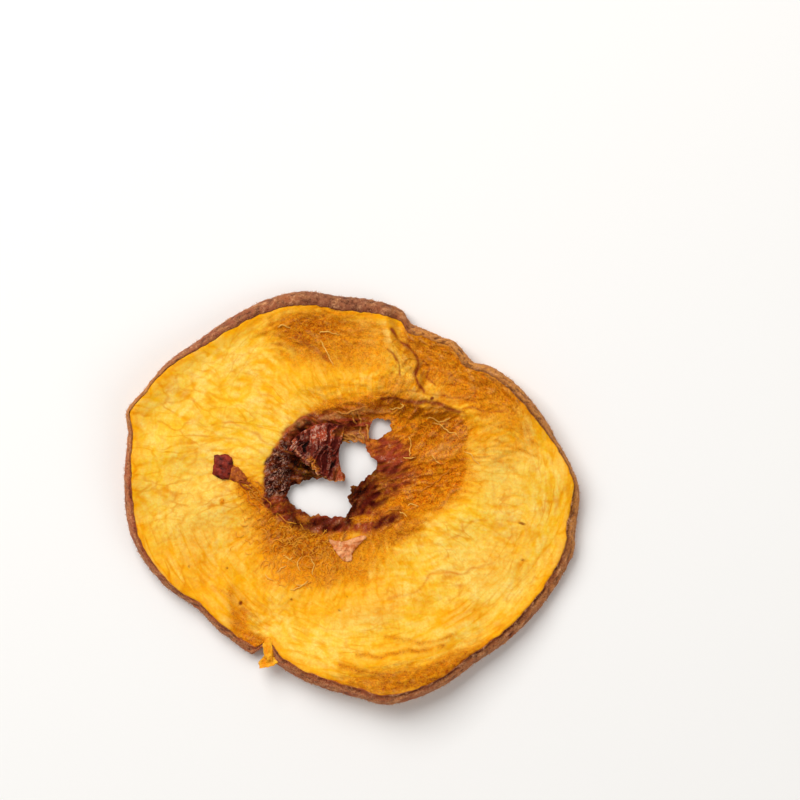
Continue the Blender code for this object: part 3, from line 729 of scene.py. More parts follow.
def grain(x, y, pulls):
    """Direction of the fibres: out of the hollow near it, round the slice near its skin."""
    bearing, radius, hollow, inner, _ = polar(x, y)
    share = unit((radius - hollow) / (inner - hollow))
    nudge = 0.05
    ahead = edge_radius(OUTER_EDGE, bearing + nudge) - edge_radius(OUTER_EDGE, bearing - nudge)
    tangent = bearing + math.pi / 2.0 - np.arctan(ahead / (2.0 * nudge) / inner)
    sway = 0.45 * gradient_noise(x / 5.0, y / 5.0, 71)
    total_x = np.zeros(np.shape(x))
    total_y = np.zeros(np.shape(x))

    def pull(angle, weight):
        nonlocal total_x, total_y
        total_x = total_x + weight * np.cos(2.0 * (angle + sway))
        total_y = total_y + weight * np.sin(2.0 * (angle + sway))

    pull(bearing, 1.1 * (1.0 - share))
    pull(tangent, 0.15 + 2.0 * smooth((share - 0.5) / 0.45))
    for place_x, place_y, spread, angle, weight in pulls:
        near = np.exp(-((x - place_x) ** 2 + (y - place_y) ** 2) / spread**2)
        pull(math.radians(angle), weight * near)
    return 0.5 * np.arctan2(total_y, total_x)


def smear(values, angle, reach):
    """Smear a map along a direction at each place, so that it turns into fibres."""
    run_x = np.cos(angle)
    run_y = np.sin(angle)
    rows, columns = values.shape
    total = values.copy()
    for sense in (1.0, -1.0):
        column = np.tile(np.arange(columns, dtype=float), (rows, 1))
        row = np.tile(np.arange(rows, dtype=float)[:, None], (1, columns))
        last_x = sense * run_x
        last_y = sense * run_y
        for _ in range(int(reach / CELL)):
            column += last_x
            row += last_y
            j = np.clip(np.rint(column).astype(int), 0, columns - 1)
            i = np.clip(np.rint(row).astype(int), 0, rows - 1)
            total += values[i, j]
            step_x = run_x[i, j]
            step_y = run_y[i, j]
            turn = np.where(step_x * last_x + step_y * last_y < 0.0, -1.0, 1.0)
            last_x = step_x * turn
            last_y = step_y * turn
    return (total - total.mean()) / total.std()


def patches(table, x, y, ragged):
    """Strength of a table of soft patches, whose edges follow the ragged map."""
    found = np.zeros(np.shape(x))
    for place_x, place_y, half_long, half_wide, turn, strength in table:
        turn = math.radians(turn)
        off_x = x - place_x
        off_y = y - place_y
        u = (off_x * math.cos(turn) + off_y * math.sin(turn)) / half_long
        v = (off_y * math.cos(turn) - off_x * math.sin(turn)) / half_wide
        distance = np.hypot(u, v) + ragged
        found = np.maximum(found, strength * smooth((PATCH_EDGE - distance) / PATCH_FADE))
    return found


def curve_through(points, steps=6):
    """A smooth line through points, as more points."""
    points = np.array(points, dtype=float)
    ends = np.vstack((2 * points[0] - points[1], points, 2 * points[-1] - points[-2]))
    made = []
    for before, start, stop, after in zip(ends, ends[1:], ends[2:], ends[3:]):
        for t in np.arange(steps) / steps:
            made.append(0.5 * (
                2 * start + (stop - before) * t
                + (2 * before - 5 * start + 4 * stop - after) * t**2
                + (3 * start - before - 3 * stop + after) * t**3
            ))
    made.append(points[-1])
    return np.array(made)


def drawn_lines(table, x, y):
    """Strength of the drawn creases at each place, which wander a little."""
    wander_x = x + LINE_WANDER * gradient_noise(x / 1.3, y / 1.3, 81)
    wander_y = y + LINE_WANDER * gradient_noise(x / 1.3, y / 1.3, 82)
    found = np.zeros(np.shape(x))
    for points, width, strength in table:
        distance, _, _ = line_distance(wander_x, wander_y, curve_through(points, 4))
        broken = 0.75 + 0.5 * gradient_noise(x / 0.9, y / 0.9, 83)
        found = np.maximum(found, strength * broken * bell(distance, width))
    return unit(found)


def texture_maps(pulls, seed):
    """The wrinkles, puckers and fibres of a cut face, without its stains."""
    x, y = Map.x, Map.y
    angle = grain(x, y, pulls)
    grit = np.random.default_rng(seed).normal(size=x.shape)

    def at(spacing, number):
        return gradient_noise(x / spacing, y / spacing, seed + number)

    bent_x = x + 0.7 * at(1.9, 20)
    bent_y = y + 0.7 * at(1.9, 21)
    crumple = -np.abs(gradient_noise(bent_x / 1.3, bent_y / 1.3, seed + 22))
    crumple -= 0.6 * np.abs(gradient_noise(bent_x / 0.6, bent_y / 0.6, seed + 23))
    return SimpleNamespace(
        streak=smear(grit, angle, 1.1),
        strand=smear(at(0.5, 1), angle, 1.3),
        cell=smear(at(1.0, 2), angle, 0.5),
        cross=smear(at(1.2, 3), angle + math.pi / 2, 0.9),
        crumple=smear(crumple, angle, 0.4),
        stroke=smear(at(0.7, 5), angle, 0.7),
        fold=smear(-np.abs(at(0.6, 6)), angle, 0.4),
        curl=smear(grit, 3.0 * at(1.1, 24), 0.5),
        fine=layered_noise(x, y, 0.7, seed + 4, 2),
        mottle=layered_noise(x, y, 2.6, seed + 8, 3),
        broad=at(6.5, 12),
    )


def most(*maps):
    """The highest of several maps at each place."""
    return functools.reduce(np.maximum, maps)


def top_form(x, y):
    """Heights of the smooth solid: its upper face or hollow, and its underside."""
    bearing, radius, hollow, inner, _ = polar(x, y)
    upper = lift(x, y) + FLESH_THICKNESS + folds(x, y) + UNEVEN * unevenness(x, y, 0.3)
    low = np.maximum(lift(x, y) + UNEVEN_UNDER * UNEVEN * unevenness(x, y, 4.7), 0.0)
    low = low + UNDER_HOLLOW * (1.0 - smooth(radius / hollow))
    lip = LIP * bell(inner - radius, LIP_WIDTH)
    roll = RIM_DROP * np.exp(-np.clip(radius - hollow, 0.0, None) / RIM_ROLL)
    reach = by_bearing(FLOOR_REACH, bearing)
    wall = unit((radius / hollow - reach) / (1.0 - reach)) ** WALL_BEND
    floor = low + LINING
    inside = floor + (upper - RIM_DROP - floor) * wall
    return np.where(radius < hollow, inside, upper + lip - roll), low


def upper_zones(tex):
    """Where the upper face is hollow, lined, torn, crumpled or ragged."""
    x, y = Map.x, Map.y
    bearing, radius, hollow, inner, _ = polar(x, y)
    on = SimpleNamespace(
        inside=smooth((hollow - radius) / 0.6 + 0.5),
        left=smooth((-3.0 - x) / 3.0),
        right=smooth(x / 2.0),
        # Troughs and crests of the crumpled folds: the colours darken the troughs with painted
        # shade and lighten the crests with painted highlights.
        shaded_valley=smooth(-0.2 - 0.8 * tex.crumple),
        ridge=smooth(tex.crumple - 0.5),
        ragged=0.16 * tex.mottle + 0.1 * tex.fine + 0.06 * tex.curl + 0.04 * tex.strand,
        to_skin=np.clip(inner - radius, 0.0, None),
        outward=(radius - hollow) / (inner - hollow),
    )
    on.outside = 1.0 - on.inside
    softness = by_bearing(HOLLOW_SOFTNESS, bearing)
    on.hollow = smooth((hollow - radius) / softness + 0.45 + 0.16 * tex.crumple + 0.1 * tex.fine)
    rolled = bell(x + 0.5, 6.5) * smooth(-y / 2.0)
    lined = smooth((hollow - radius) / 0.5 + 0.9 + 0.25 * tex.fine + 1.6 * rolled)
    on.lined = lined * (1.0 - patches(CLEAR_PATCHES, x, y, 0.12 * tex.crumple))
    torn = 0.12 * tex.fine + 0.14 * tex.crumple + 0.06 * tex.strand
    on.torn = torn * (1.0 - 0.5 * on.right)
    on.edge = on.ragged + (on.torn - on.ragged) * on.inside
    on.crumpled = patches(CRUMPLED, x, y, on.edge) * on.outside
    return on


def flesh_stains(tex, on):
    """The stains of the flesh from amber to brown, and how rough they make it."""
    x, y = Map.x, Map.y
    streaks = drawn_lines(ORANGE_STREAKS, x, y)
    amber = most(patches(AMBER_PATCHES, x, y, on.edge), 0.72 * on.hollow, 0.9 * streaks)
    browned = most(patches(BROWN_PATCHES, x, y, on.edge), streaks - 0.45)
    rough = most(amber * on.outside, 0.0)
    amber = unit(amber * (1.0 + 0.16 * tex.curl * on.outside + 0.2 * tex.crumple * on.inside))
    # Browned flesh and streaks, with painted shade in the troughs of the crumpled lining and of
    # the folds in the crumpled flesh.
    brown = most(
        browned * (0.75 + 0.3 * tex.strand * on.inside + 0.35 * tex.curl * on.outside),
        0.42 * on.hollow * on.shaded_valley,
        0.5 * rough**2 * smooth(tex.curl - 0.6),
        0.4 * on.crumpled * (0.2 + 0.8 * amber) * smooth(-0.5 - 0.9 * tex.fold),
    )
    return amber, browned, brown, rough


def lining_stains(tex, on):
    """The lining's colours from mauve over purple to black, with painted shade in its troughs and
    in the recess under the flap, and the dark creases.
    """
    x, y = Map.x, Map.y
    within = on.hollow * (1.0 - smooth((x - 1.5) / 3.5)) * (1.0 - 0.75 * smooth((y - 9.8) / 1.2))
    mauve = most(patches(MAUVE_PATCHES, x, y, on.torn), 0.85 * within)
    dark_lines = drawn_lines(DARK_CREASES, x, y)
    mauve = most(unit(mauve * (0.95 + 0.2 * tex.strand)) * on.lined, 0.5 * dark_lines)
    # Purple and black deepen in the troughs of the crumple, as painted shade.
    mottled = 1.1 - 0.25 * tex.crumple * (1.0 - 0.5 * on.right)
    purple = patches(PURPLE_PATCHES, x, y, on.torn) * mottled
    purple = unit(purple + 0.36 * on.shaded_valley * mauve) * on.lined
    black = patches(BLACK_AND_SHADE_PATCHES, x, y, on.torn) * (1.0 - 0.3 * tex.crumple)
    charred = drawn_lines(CHARRED_LINES, x, y)
    # Black: the lining's darkest colour, with painted shade in the troughs on the left and in the
    # recess under the flap.
    black = on.lined * most(
        unit(black + 0.6 * on.shaded_valley * purple * on.left),
        0.55 * on.left * smooth((x + 9.0) / 1.5) * smooth((5.6 - y) / 1.2),
        0.25 * purple**2,
        0.85 * charred,
    )
    return mauve, most(purple, charred), black, dark_lines


def flesh_tones(tex, on, stained):
    """Richer and paler flesh, the wrinkles, the puckers between them and the ridge's crest."""
    x, y = Map.x, Map.y
    rich = most(
        patches(RICH_PATCHES, x, y, 1.6 * on.ragged), 0.95 * bell(on.to_skin, 1.2),
        0.6 * patches(AMBER_PATCHES, x, y, on.edge - 0.35),
    )
    pucker = np.clip(np.abs(tex.cell), 0.0, 1.6) / 1.6 - 0.5
    pucker = pucker + 0.35 * tex.stroke + 0.8 * tex.mottle
    rich = rich * (0.9 + 0.25 * tex.mottle + 0.12 * tex.streak)
    # Painted shade: deeper orange where the strokes and puckers lie low.
    rich = unit(rich + 0.2 * smooth(-0.5 - tex.stroke) + 0.3 * smooth(0.2 - pucker))
    # The wrinkles' deeper orange is partly their own colour and partly painted shade in the
    # grooves that the relief cuts for them.
    lines = bell(tex.cell, 0.22) * smooth(0.5 + 0.9 * tex.broad)
    crossing = bell(tex.cross, 0.22) * patches(RETICULATE, x, y, on.ragged)
    crease = most(0.42 * lines, 0.4 * crossing) * (1.0 - 0.7 * stained)
    crease = most(crease, 0.9 * drawn_lines(LONG_CREASES, x, y))
    # Pale follows the same strokes and mottling that raise the puckers, so it is partly a painted
    # highlight.
    pale = smooth(0.42 + 0.1 * tex.stroke + 0.2 * tex.mottle + 0.2 * tex.broad + 0.2 * tex.fine)
    pale = most(0.75 * pale * (1.0 - 0.8 * rich), patches(PALE_PATCHES, x, y, 2 * on.ragged))
    distance, side, along = line_distance(x, y, RIDGE_LINE)
    crest = bell(distance, 1.1) * smooth(0.5 - 0.6 * side) * smooth(4 * (1 - along))
    pale = most(pale * (1.0 - stained), 0.85 * crest * smooth(0.6 + 0.4 * tex.crumple))
    return rich, pale, crease, pucker, crest


def upper_relief(tex, on, rough, pucker):
    """Relief over the smooth form, out on the flesh and in the hollow, in millimetres."""
    tall = {name: getattr(sizes(), name + "_height") / MM
            for name in ("blotch", "streak", "strand", "crumple", "crumb")}
    smoother = tall["blotch"] * pucker + tall["streak"] * tex.streak
    smoother = smoother + 0.05 * np.clip(tex.curl, -1.5, 2.0) * rough
    smoother = smoother + 0.13 * np.clip(tex.crumple, -1.5, 1.5) * on.crumpled
    smoother = smoother + 0.06 * np.clip(tex.fold, -1.6, 1.4) * on.crumpled
    hollowed = tall["strand"] * np.clip(tex.strand, -1.6, 1.6) + tall["crumb"] * tex.fine
    flatter = 1.0 - 0.6 * on.left - 0.35 * on.right
    hollowed = hollowed + tall["crumple"] * np.clip(tex.crumple, -1.8, 1.6) * flatter
    return smoother + (hollowed - smoother) * on.inside


@functools.lru_cache(maxsize=None)
def top_maps():
    """Every map of the upper face: heights in millimetres, and colours from 0 to 1."""
    x, y = Map.x, Map.y
    tex = texture_maps(GRAIN_PULLS, 11)
    on = upper_zones(tex)
    amber, browned, brown, rough = flesh_stains(tex, on)
    mauve, purple, black, dark_lines = lining_stains(tex, on)
    stained = unit(amber + browned + mauve)
    rich, pale, crease, pucker, crest = flesh_tones(tex, on, stained)
    relief = upper_relief(tex, on, rough, pucker)
    relief = relief - sizes().crease_depth / MM * (crease + 1.4 * dark_lines)
    pale_strand = patches(PALE_STRANDS, x, y, on.torn)
    relief = relief + 0.35 * pale_strand
    form, low = top_form(x, y)
    # Pale strands and flecks, with painted highlights on the crests of the hollow's folds and of
    # the folds in the crumpled flesh.
    pale_flecks_and_highlights = most(
        pale_strand * smooth(0.7 + 0.3 * tex.strand),
        0.34 * on.ridge * on.hollow * (1.0 - mauve) * (1.0 - purple),
        0.3 * rough * smooth(tex.curl - 1.2),
        0.4 * on.crumpled * stained * smooth(tex.fold - 0.5),
    )
    # Ashy specks on the left wall, and painted highlights on the crests of the mauve folds.
    ash_and_highlight = most(
        on.inside * smooth((-7.6 - x) / 1.2) * smooth((y + 0.6) / 1.6) * (0.9 + 0.3 * tex.fine),
        0.7 * on.ridge * on.hollow * mauve * (1.0 - 0.95 * purple),
    )
    specks = patches(DARK_SPECKS, x, y, 0.15 * tex.fine)
    fan = 1.0 - smooth(on.outward * 1.5 - 0.3)
    fan = most(fan, smooth((-14.0 - x) / 4.0) * smooth((y + 6.0) / 5.0))
    return dict(
        form=form,
        low=low,
        relief=relief,
        pale=pale,
        rich=rich,
        crease=unit(crease),
        amber=amber * (1.0 - 0.6 * crest),
        brown=unit(most(brown, dark_lines, specks)),
        mauve=mauve,
        purple=most(purple, 0.7 * specks**3),
        black=black,
        strand=unit(pale_flecks_and_highlights),
        ash_and_highlight=unit(ash_and_highlight),
        fan=fan * on.outside * (1.0 - 0.6 * stained),
        ring=(1.0 - fan) * on.outside * (1.0 - 0.4 * stained),
        creased=on.crumpled,
        hollowed=on.inside,
        fibrous=patches(MATTED, x, y, on.edge) * on.outside * smooth(0.6 + 0.6 * tex.mottle),
        crumbly=on.inside * on.left,
    )


@functools.lru_cache(maxsize=None)
def under_maps():
    """The maps of the underside, which dried on a tray and is smoother and plainer."""
    x, y = Map.x, Map.y
    _, radius, hollow, inner, _ = polar(x, y)
    tex = texture_maps((), 47)
    strand, mottle = tex.strand, tex.mottle
    to_hollow = (radius - hollow * 0.8) / 3.2 + 0.5 * mottle + 0.12 * strand
    amber = 0.9 * smooth(1.3 - to_hollow)
    mauve = 0.9 * smooth(0.35 - to_hollow)
    rich = smooth(1.0 - (inner - radius) / 3.0 + 0.5 * mottle)
    pucker = np.clip(np.abs(tex.cell), 0.0, 1.6) / 1.6
    lines = bell(tex.cell, 0.3) * smooth(0.6 + 0.9 * tex.broad)
    stained = unit(amber + mauve)
    # Paler on raised puckers, partly a painted highlight; the wrinkle lines lie in the low
    # puckers and are partly painted shade.
    pale = smooth(0.35 + 0.5 * mottle + 0.4 * (pucker - 0.45))
    relief = sizes().blotch_height / MM * 0.6 * (pucker - 0.5)
    relief = relief + sizes().streak_height / MM * tex.streak
    relief = relief - sizes().crease_depth / MM * 0.7 * lines
    wrinkled = 0.6 * smooth(to_hollow / 2.0)
    return {
        **dict.fromkeys(LAYERS, np.zeros(x.shape)),
        "low": top_maps()["low"],
        "relief": relief,
        "pale": pale * (1.0 - 0.8 * rich) * (1.0 - stained),
        "rich": rich,
        "crease": 0.6 * lines * (1.0 - 0.7 * stained),
        "amber": unit(amber * (1.0 + 0.2 * strand)),
        "brown": 0.6 * smooth(0.8 - to_hollow) * smooth(0.5 + 0.4 * strand),
        "mauve": unit(mauve * (1.0 + 0.2 * strand)),
        "purple": 0.9 * smooth(-0.2 - to_hollow),
        "fan": wrinkled,
        "ring": wrinkled,
    }


def normals_of(points):
    """Outward direction at each point of a closed band of points."""
    out = np.roll(points, -1, axis=0) - np.roll(points, 1, axis=0)
    around = np.roll(points, -1, axis=1) - np.roll(points, 1, axis=1)
    found = np.cross(out, around)
    return found / np.maximum(np.linalg.norm(found, axis=2, keepdims=True), 1e-9)


def linked(name, data):
    """An object of some data, in the scene."""
    made = bpy.data.objects.new(name, data)
    bpy.context.scene.collection.objects.link(made)
    return made


def settled(source):
    """The plain mesh that an object's modifiers make of it, once they are taken off."""
    bpy.context.view_layer.update()
    seen = source.evaluated_get(bpy.context.evaluated_depsgraph_get())
    mesh = bpy.data.meshes.new_from_object(seen)
    source.modifiers.clear()
    return mesh


def closed_piece(name, work, smooth_faces=True):
    """A piece from a closed mesh in the making, with its faces outwards."""
    bmesh.ops.recalc_face_normals(work, faces=work.faces)
    mesh = bpy.data.meshes.new(name)
    work.to_mesh(mesh)
    work.free()
    if smooth_faces:
        mesh.shade_smooth()
    return linked(name, mesh)


def band_mesh(name, points):
    """A closed band from rows of points round the slice, given in millimetres.

    The first rows run outwards over the upper side, so that its faces point outwards.
    """
    rows, steps = points.shape[:2]
    index = np.arange(rows * steps).reshape(rows, steps)
    beside = np.roll(index, -1, axis=1)
    next_row = np.roll(index, -1, axis=0)
    across = np.roll(beside, -1, axis=0)
    faces = np.stack((index, next_row, across, beside), axis=-1).reshape(-1, 4)
    mesh = bpy.data.meshes.new(name)
    mesh.from_pydata((points.reshape(-1, 3) * MM).tolist(), [], faces.tolist())
    mesh.shade_smooth()
    return linked(name, mesh)


def places(mesh):
    """The vertices of a mesh in millimetres, as columns of x, y and z."""
    found = np.empty(len(mesh.vertices) * 3)
    mesh.vertices.foreach_get("co", found)
    return found.reshape(-1, 3).T / MM


def set_values(mesh, name, values):
    """Keep one number for each vertex under a name that materials and trees read."""
    if name in mesh.attributes:
        mesh.attributes.remove(mesh.attributes[name])
    layer = mesh.attributes.new(name, "FLOAT", "POINT")
    layer.data.foreach_set("value", np.ascontiguousarray(values, dtype=np.float32).ravel())


def paint(mesh, maps, names=LAYERS):
    """Give each vertex the values of the maps at its place."""
    x, y, _ = places(mesh)
    for name in names:
        set_values(mesh, name, Map.read(maps[name], x, y))


def finish_piece(piece, material, instead=False):
    """Give a piece its material and body, and hide the solid's part when it stands instead."""
    piece.data.materials.clear()
    piece.data.materials.append(material)
    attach(piece, BODY)
    if instead:
        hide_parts(NODE)


# Kinds of node that are used again and again.
MATH = "ShaderNodeMath"
VECTOR = "ShaderNodeVectorMath"
MIX = "ShaderNodeMix"
RANGE = "ShaderNodeMapRange"
NOISE = "ShaderNodeTexNoise"
CELLS = "ShaderNodeTexVoronoi"
VALUE = "ShaderNodeAttribute"
RANDOM = "FunctionNodeRandomValue"


def add(tree, kind, inputs=(), take=None, **settings):
    """Add one node with its settings and inputs, and return one of its outputs.

    The inputs are values or other outputs, in order or by name. Sockets that the
    settings leave out of use don't count.
    """
    node = tree.nodes.new(kind)
    for name, value in settings.items():
        setattr(node, name, value)
    sockets = [socket for socket in node.inputs if socket.enabled]
    if isinstance(inputs, dict):
        names = [socket.name for socket in sockets]
        sockets = [sockets[names.index(name)] for name in inputs]
        inputs = inputs.values()
    for socket, value in zip(sockets, inputs):
        if isinstance(value, bpy.types.NodeSocket):
            tree.links.new(value, socket)
        else:
            socket.default_value = value
    outputs = [
        socket for socket in node.outputs
        if socket.enabled and take in (None, socket.name)
    ]
    return outputs[0] if outputs else None


def added_up(tree, total, parts):
    """Add outputs to a total, each times a number or another output."""
    for part, amount in parts:
        total = add(tree, MATH, (part, amount, total), operation="MULTIPLY_ADD")
    return total


def layered_colour(tree, colour, layers):
    """Lay tints over a colour, from the lowest up.

    Each layer holds its tint, how it blends, and the numbers or outputs whose product is
    its share.
    """
    for tint, blend, share, *others in layers:
        for other in others:
            share = add(tree, MATH, (share, other), operation="MULTIPLY")
        if not isinstance(tint, bpy.types.NodeSocket):
            tint = opaque(tint)
        colour = add(tree, MIX, (share, colour, tint), data_type="RGBA", blend_type=blend)
    return colour


def opaque(colour):
    return (*colour, 1.0)


def new_material(name):
    """An empty material and its tree."""
    material = bpy.data.materials.new(name)
    material.use_nodes = True
    material.node_tree.nodes.clear()
    return material, material.node_tree


def finish_material(tree, inputs, height=None, strength=0.0, depth=0.0):
    """Join a shader to the output, with a bump of a depth in millimetres if it has one."""
    if height is not None:
        inputs["Normal"] = add(tree, "ShaderNodeBump", {
            "Strength": strength, "Distance": depth * MM, "Height": height,
        })
    shader = add(tree, "ShaderNodeBsdfPrincipled", inputs)
    add(tree, "ShaderNodeOutputMaterial", (shader,))


def spotted(tree, spacing, detail=2.0):
    """Noise whose spots lie about this many millimetres apart, from 0 to 1."""
    place = add(tree, "ShaderNodeTexCoord", take="Object")
    scale = 1.0 / (spacing * MM)
    return add(tree, NOISE, {
        "Vector": place, "Scale": scale, "Detail": detail, "Roughness": 0.6,
    })


def object_place(tree, spacing, shift):
    """Object coordinates that space noise out in millimetres, moved to another part of it."""
    place = add(tree, "ShaderNodeTexCoord", take="Object")
    scale = (1.0 / (spacing * MM),) * 3
    return add(tree, "ShaderNodeMapping", {
        "Vector": place, "Scale": scale, "Location": (shift, 0.0, shift),
    })


# Radius at which the spacing round the hollow is true.
TRUE_RADIUS = 15.0


def polar_place(tree, round_spacing, out_spacing):
    """Coordinates that space noise out in millimetres round the hollow and away from it."""
    place = add(tree, "ShaderNodeTexCoord", take="Object")
    centre = (*(HOLLOW_CENTRE * MM), 0.0)
    around = (TRUE_RADIUS / round_spacing, TRUE_RADIUS / round_spacing, 0.0)
    offset = add(tree, VECTOR, (place, centre), operation="SUBTRACT")
    flat = add(tree, VECTOR, (offset, (1.0, 1.0, 0.0)), operation="MULTIPLY")
    unit = add(tree, VECTOR, (flat,), operation="NORMALIZE")
    turned = add(tree, VECTOR, (unit, around), operation="MULTIPLY")
    reach = add(tree, VECTOR, (flat,), operation="LENGTH")
    out = add(tree, MATH, (reach, 1.0 / (out_spacing * MM)), operation="MULTIPLY")
    up = add(tree, "ShaderNodeCombineXYZ", {"Z": out})
    return add(tree, VECTOR, (turned, up), operation="ADD")


def thin_lines(tree, place, width, distortion):
    """Thin wandering lines, from 0 between them to 1 on them."""
    found = add(tree, NOISE, {
        "Vector": place, "Scale": 1.0, "Detail": 2.0, "Distortion": distortion,
    })
    off = add(tree, MATH, (found, 0.5), operation="SUBTRACT")
    off = add(tree, MATH, (off,), operation="ABSOLUTE")
    return add(tree, RANGE, (off, 0.0, width, 1.0, 0.0))


def crackle(tree, place, waver):
    """Cells between thin lines: the lines, the cells' soft middles, and a tone for each cell."""
    bend = add(tree, NOISE, {"Vector": place, "Scale": 0.8, "Detail": 2.0}, take="Color")
    centred = add(tree, VECTOR, (bend, (0.5,) * 3), operation="SUBTRACT")
    moved = add(tree, VECTOR, (centred, (waver,) * 3, place), operation="MULTIPLY_ADD")
    given = {"Vector": moved, "Scale": 1.0}
    off = add(tree, CELLS, given, feature="DISTANCE_TO_EDGE")
    tone = add(tree, CELLS, given, take="Color")
    line = add(tree, RANGE, (off, 0.0, 0.12, 1.0, 0.0), interpolation_type="SMOOTHSTEP")
    return line, add(tree, RANGE, (off, 0.0, 0.3)), tone


def matted_noise(tree):
    """Twisted noise as fine as the matted fibres, for browned flesh and skin."""
    return add(tree, NOISE, {
        "Vector": object_place(tree, 0.42, 31.0), "Scale": 1.0, "Distortion": 2.2,
    })


# Refraction of sugary dried fruit, and tones that only the materials use.
FRUIT_IOR = 1.45
CURL_SHADE = linear("#7A2800")
FOLD_SHADE = linear("#C05C20")
GRAIN_SHADE = linear("#FFDA95")
SKIN_BLOOM = linear("#E8C8B4")


def flesh_material(name, rough, glossier):
    """Dried peach flesh: leathery, faintly clear, with a dull gloss where it is amber.

    The layers of colour follow the values that the piece's vertices keep. Thin wrinkles a
    millimetre apart run out of the hollow or round the slice and bound puffed cells.
    Curled fibres just under a millimetre apart cover the amber parts, and ashy flecks of
    half a millimetre lie on the lining, some of them painted highlights on the crests of its
    folds. The curls are drawn coarser than the real fibres, which are too fine to show.
    Where the flesh is crumpled and in the hollow, thin grooves carry painted shade and thin
    ridges a painted highlight, and the puffed cells' paler middles and the wrinkles' deeper
    colour are partly painted light too.
    """
    material, tree = new_material(name)
    shades = colours()
    share = {
        layer: add(tree, VALUE, take="Fac", attribute_name=layer) for layer in LAYERS
    }
    patch = add(tree, RANGE, (spotted(tree, 3.0, 1.0), 0.4, 0.66, 0.12))
    wrinkles = puffs = cells = 0.0
    for layer, cell_spacing, curve_spacing in (
        ("fan", (1.1, 3.0), (1.2, 5.0)), ("ring", (3.0, 1.1), (5.0, 1.2)),
    ):
        line, puff, cell = crackle(tree, polar_place(tree, *cell_spacing), 1.3)
        curve = thin_lines(tree, polar_place(tree, *curve_spacing), 0.03, 0.6)
        curve = add(tree, MATH, (curve, 0.45), operation="MULTIPLY")
        line = add(tree, MATH, (line, 0.8), operation="MULTIPLY")
        line = add(tree, MATH, (line, curve), operation="MAXIMUM")
        cell = add(tree, MATH, (cell, puff), operation="MULTIPLY")
        wrinkles = added_up(tree, wrinkles, ((line, share[layer]),))
        puffs = added_up(tree, puffs, ((puff, share[layer]),))
        cells = added_up(tree, cells, ((cell, share[layer]),))
    wrinkles = add(tree, MATH, (wrinkles, patch), operation="MULTIPLY")
    flecked = add(tree, NOISE, {
        "Vector": object_place(tree, 0.5, 3.0), "Scale": 1.0, "Detail": 4.0,
        "Roughness": 0.7, "Distortion": 1.5,
    })
    flecks = add(tree, RANGE, (flecked, 0.51, 0.57))
    share["ash_and_highlight"] = add(tree, MATH, (share["ash_and_highlight"], flecks), operation="MULTIPLY")

    amber = share["amber"]
    lined = add(tree, MATH, (share["purple"], share["mauve"]), operation="MAXIMUM")
    unlined = add(tree, MATH, (1.0, lined), operation="SUBTRACT")
    clear = add(tree, MATH, (1.0, share["black"]), operation="SUBTRACT")
    light_curls, dark_curls = (
        add(tree, MATH, (thin_lines(tree, object_place(tree, spacing, shift), width, bend),
                         amber), operation="MULTIPLY")
        for spacing, shift, width, bend in ((0.85, 0.0, 0.085, 2.2), (0.9, 11.0, 0.06, 2.0))
    )
    # Thin grooves and ridges in the crumpled flesh and the hollow: the grooves get painted shade
    # and the ridges a painted highlight, as the bump sinks and raises them.
    around = polar_place(tree, 1.0, 0.5)
    beside = add(tree, VECTOR, (around, (17.0, 5.0, 29.0)), operation="ADD")
    shaded_flesh_grooves, ridges = (
        added_up(tree, 0.0, (
            (thin_lines(tree, place, width, 1.8), share["creased"]),
            (thin_lines(tree, object_place(tree, *lined_place), lined_width, 1.2),
             share["hollowed"]),
        ))
        for place, width, lined_place, lined_width in (
            (around, 0.08, (1.0, 7.0), 0.07), (beside, 0.05, (0.8, 19.0), 0.035),
        )
    )
    shadowed = add(tree, RANGE, (matted_noise(tree), 0.48, 0.36, 0.0, 0.65))
    grain_shade = add(tree, RANGE, (spotted(tree, 0.3, 3.0), 0.36, 0.66, 0.6, 0.0))
    tints = [(getattr(shades, layer), "MIX", share[layer]) for layer in TINTS]
    # Pale over the cells' puffed middles is partly a painted highlight, and the wrinkles' colour
    # partly painted shade.
    colour = layered_colour(tree, opaque(shades.flesh), (
        *tints[:3], (shades.pale, "MIX", cells, 0.4), (shades.crease, "MIX", wrinkles, 0.62),
        *tints[3:], (shades.brown, "MIX", shadowed, amber),
        (CURL_SHADE, "MIX", dark_curls, 0.6), (shades.curl, "MIX", light_curls, unlined, 0.7),
        (FOLD_SHADE, "MULTIPLY", shaded_flesh_grooves, 0.4), (shades.curl, "MIX", ridges, clear, unlined, 0.4),
        (GRAIN_SHADE, "MULTIPLY", grain_shade),
    ))
    gloss = added_up(tree, rough, ((amber, -glossier), (spotted(tree, 0.5), 0.16)))
    rougher = added_up(tree, 0.4, ((amber, 0.6),))
    height = add(tree, MATH, (spotted(tree, 0.2, 3.0), rougher), operation="MULTIPLY")
    height = added_up(tree, height, (
        (wrinkles, -0.25), (puffs, 0.2), (dark_curls, -0.8), (light_curls, 0.8),
        (ridges, 0.9), (shaded_flesh_grooves, -0.9),
    ))
    finish_material(tree, {
        "Base Color": colour, "Roughness": gloss, "IOR": FRUIT_IOR, "Specular IOR Level": 0.05,
        "Subsurface Weight": 0.12, "Subsurface Radius": (1.0, 0.4, 0.12),
        "Subsurface Scale": 0.5 * MM,
    }, height, 0.75, 0.06)
    return material


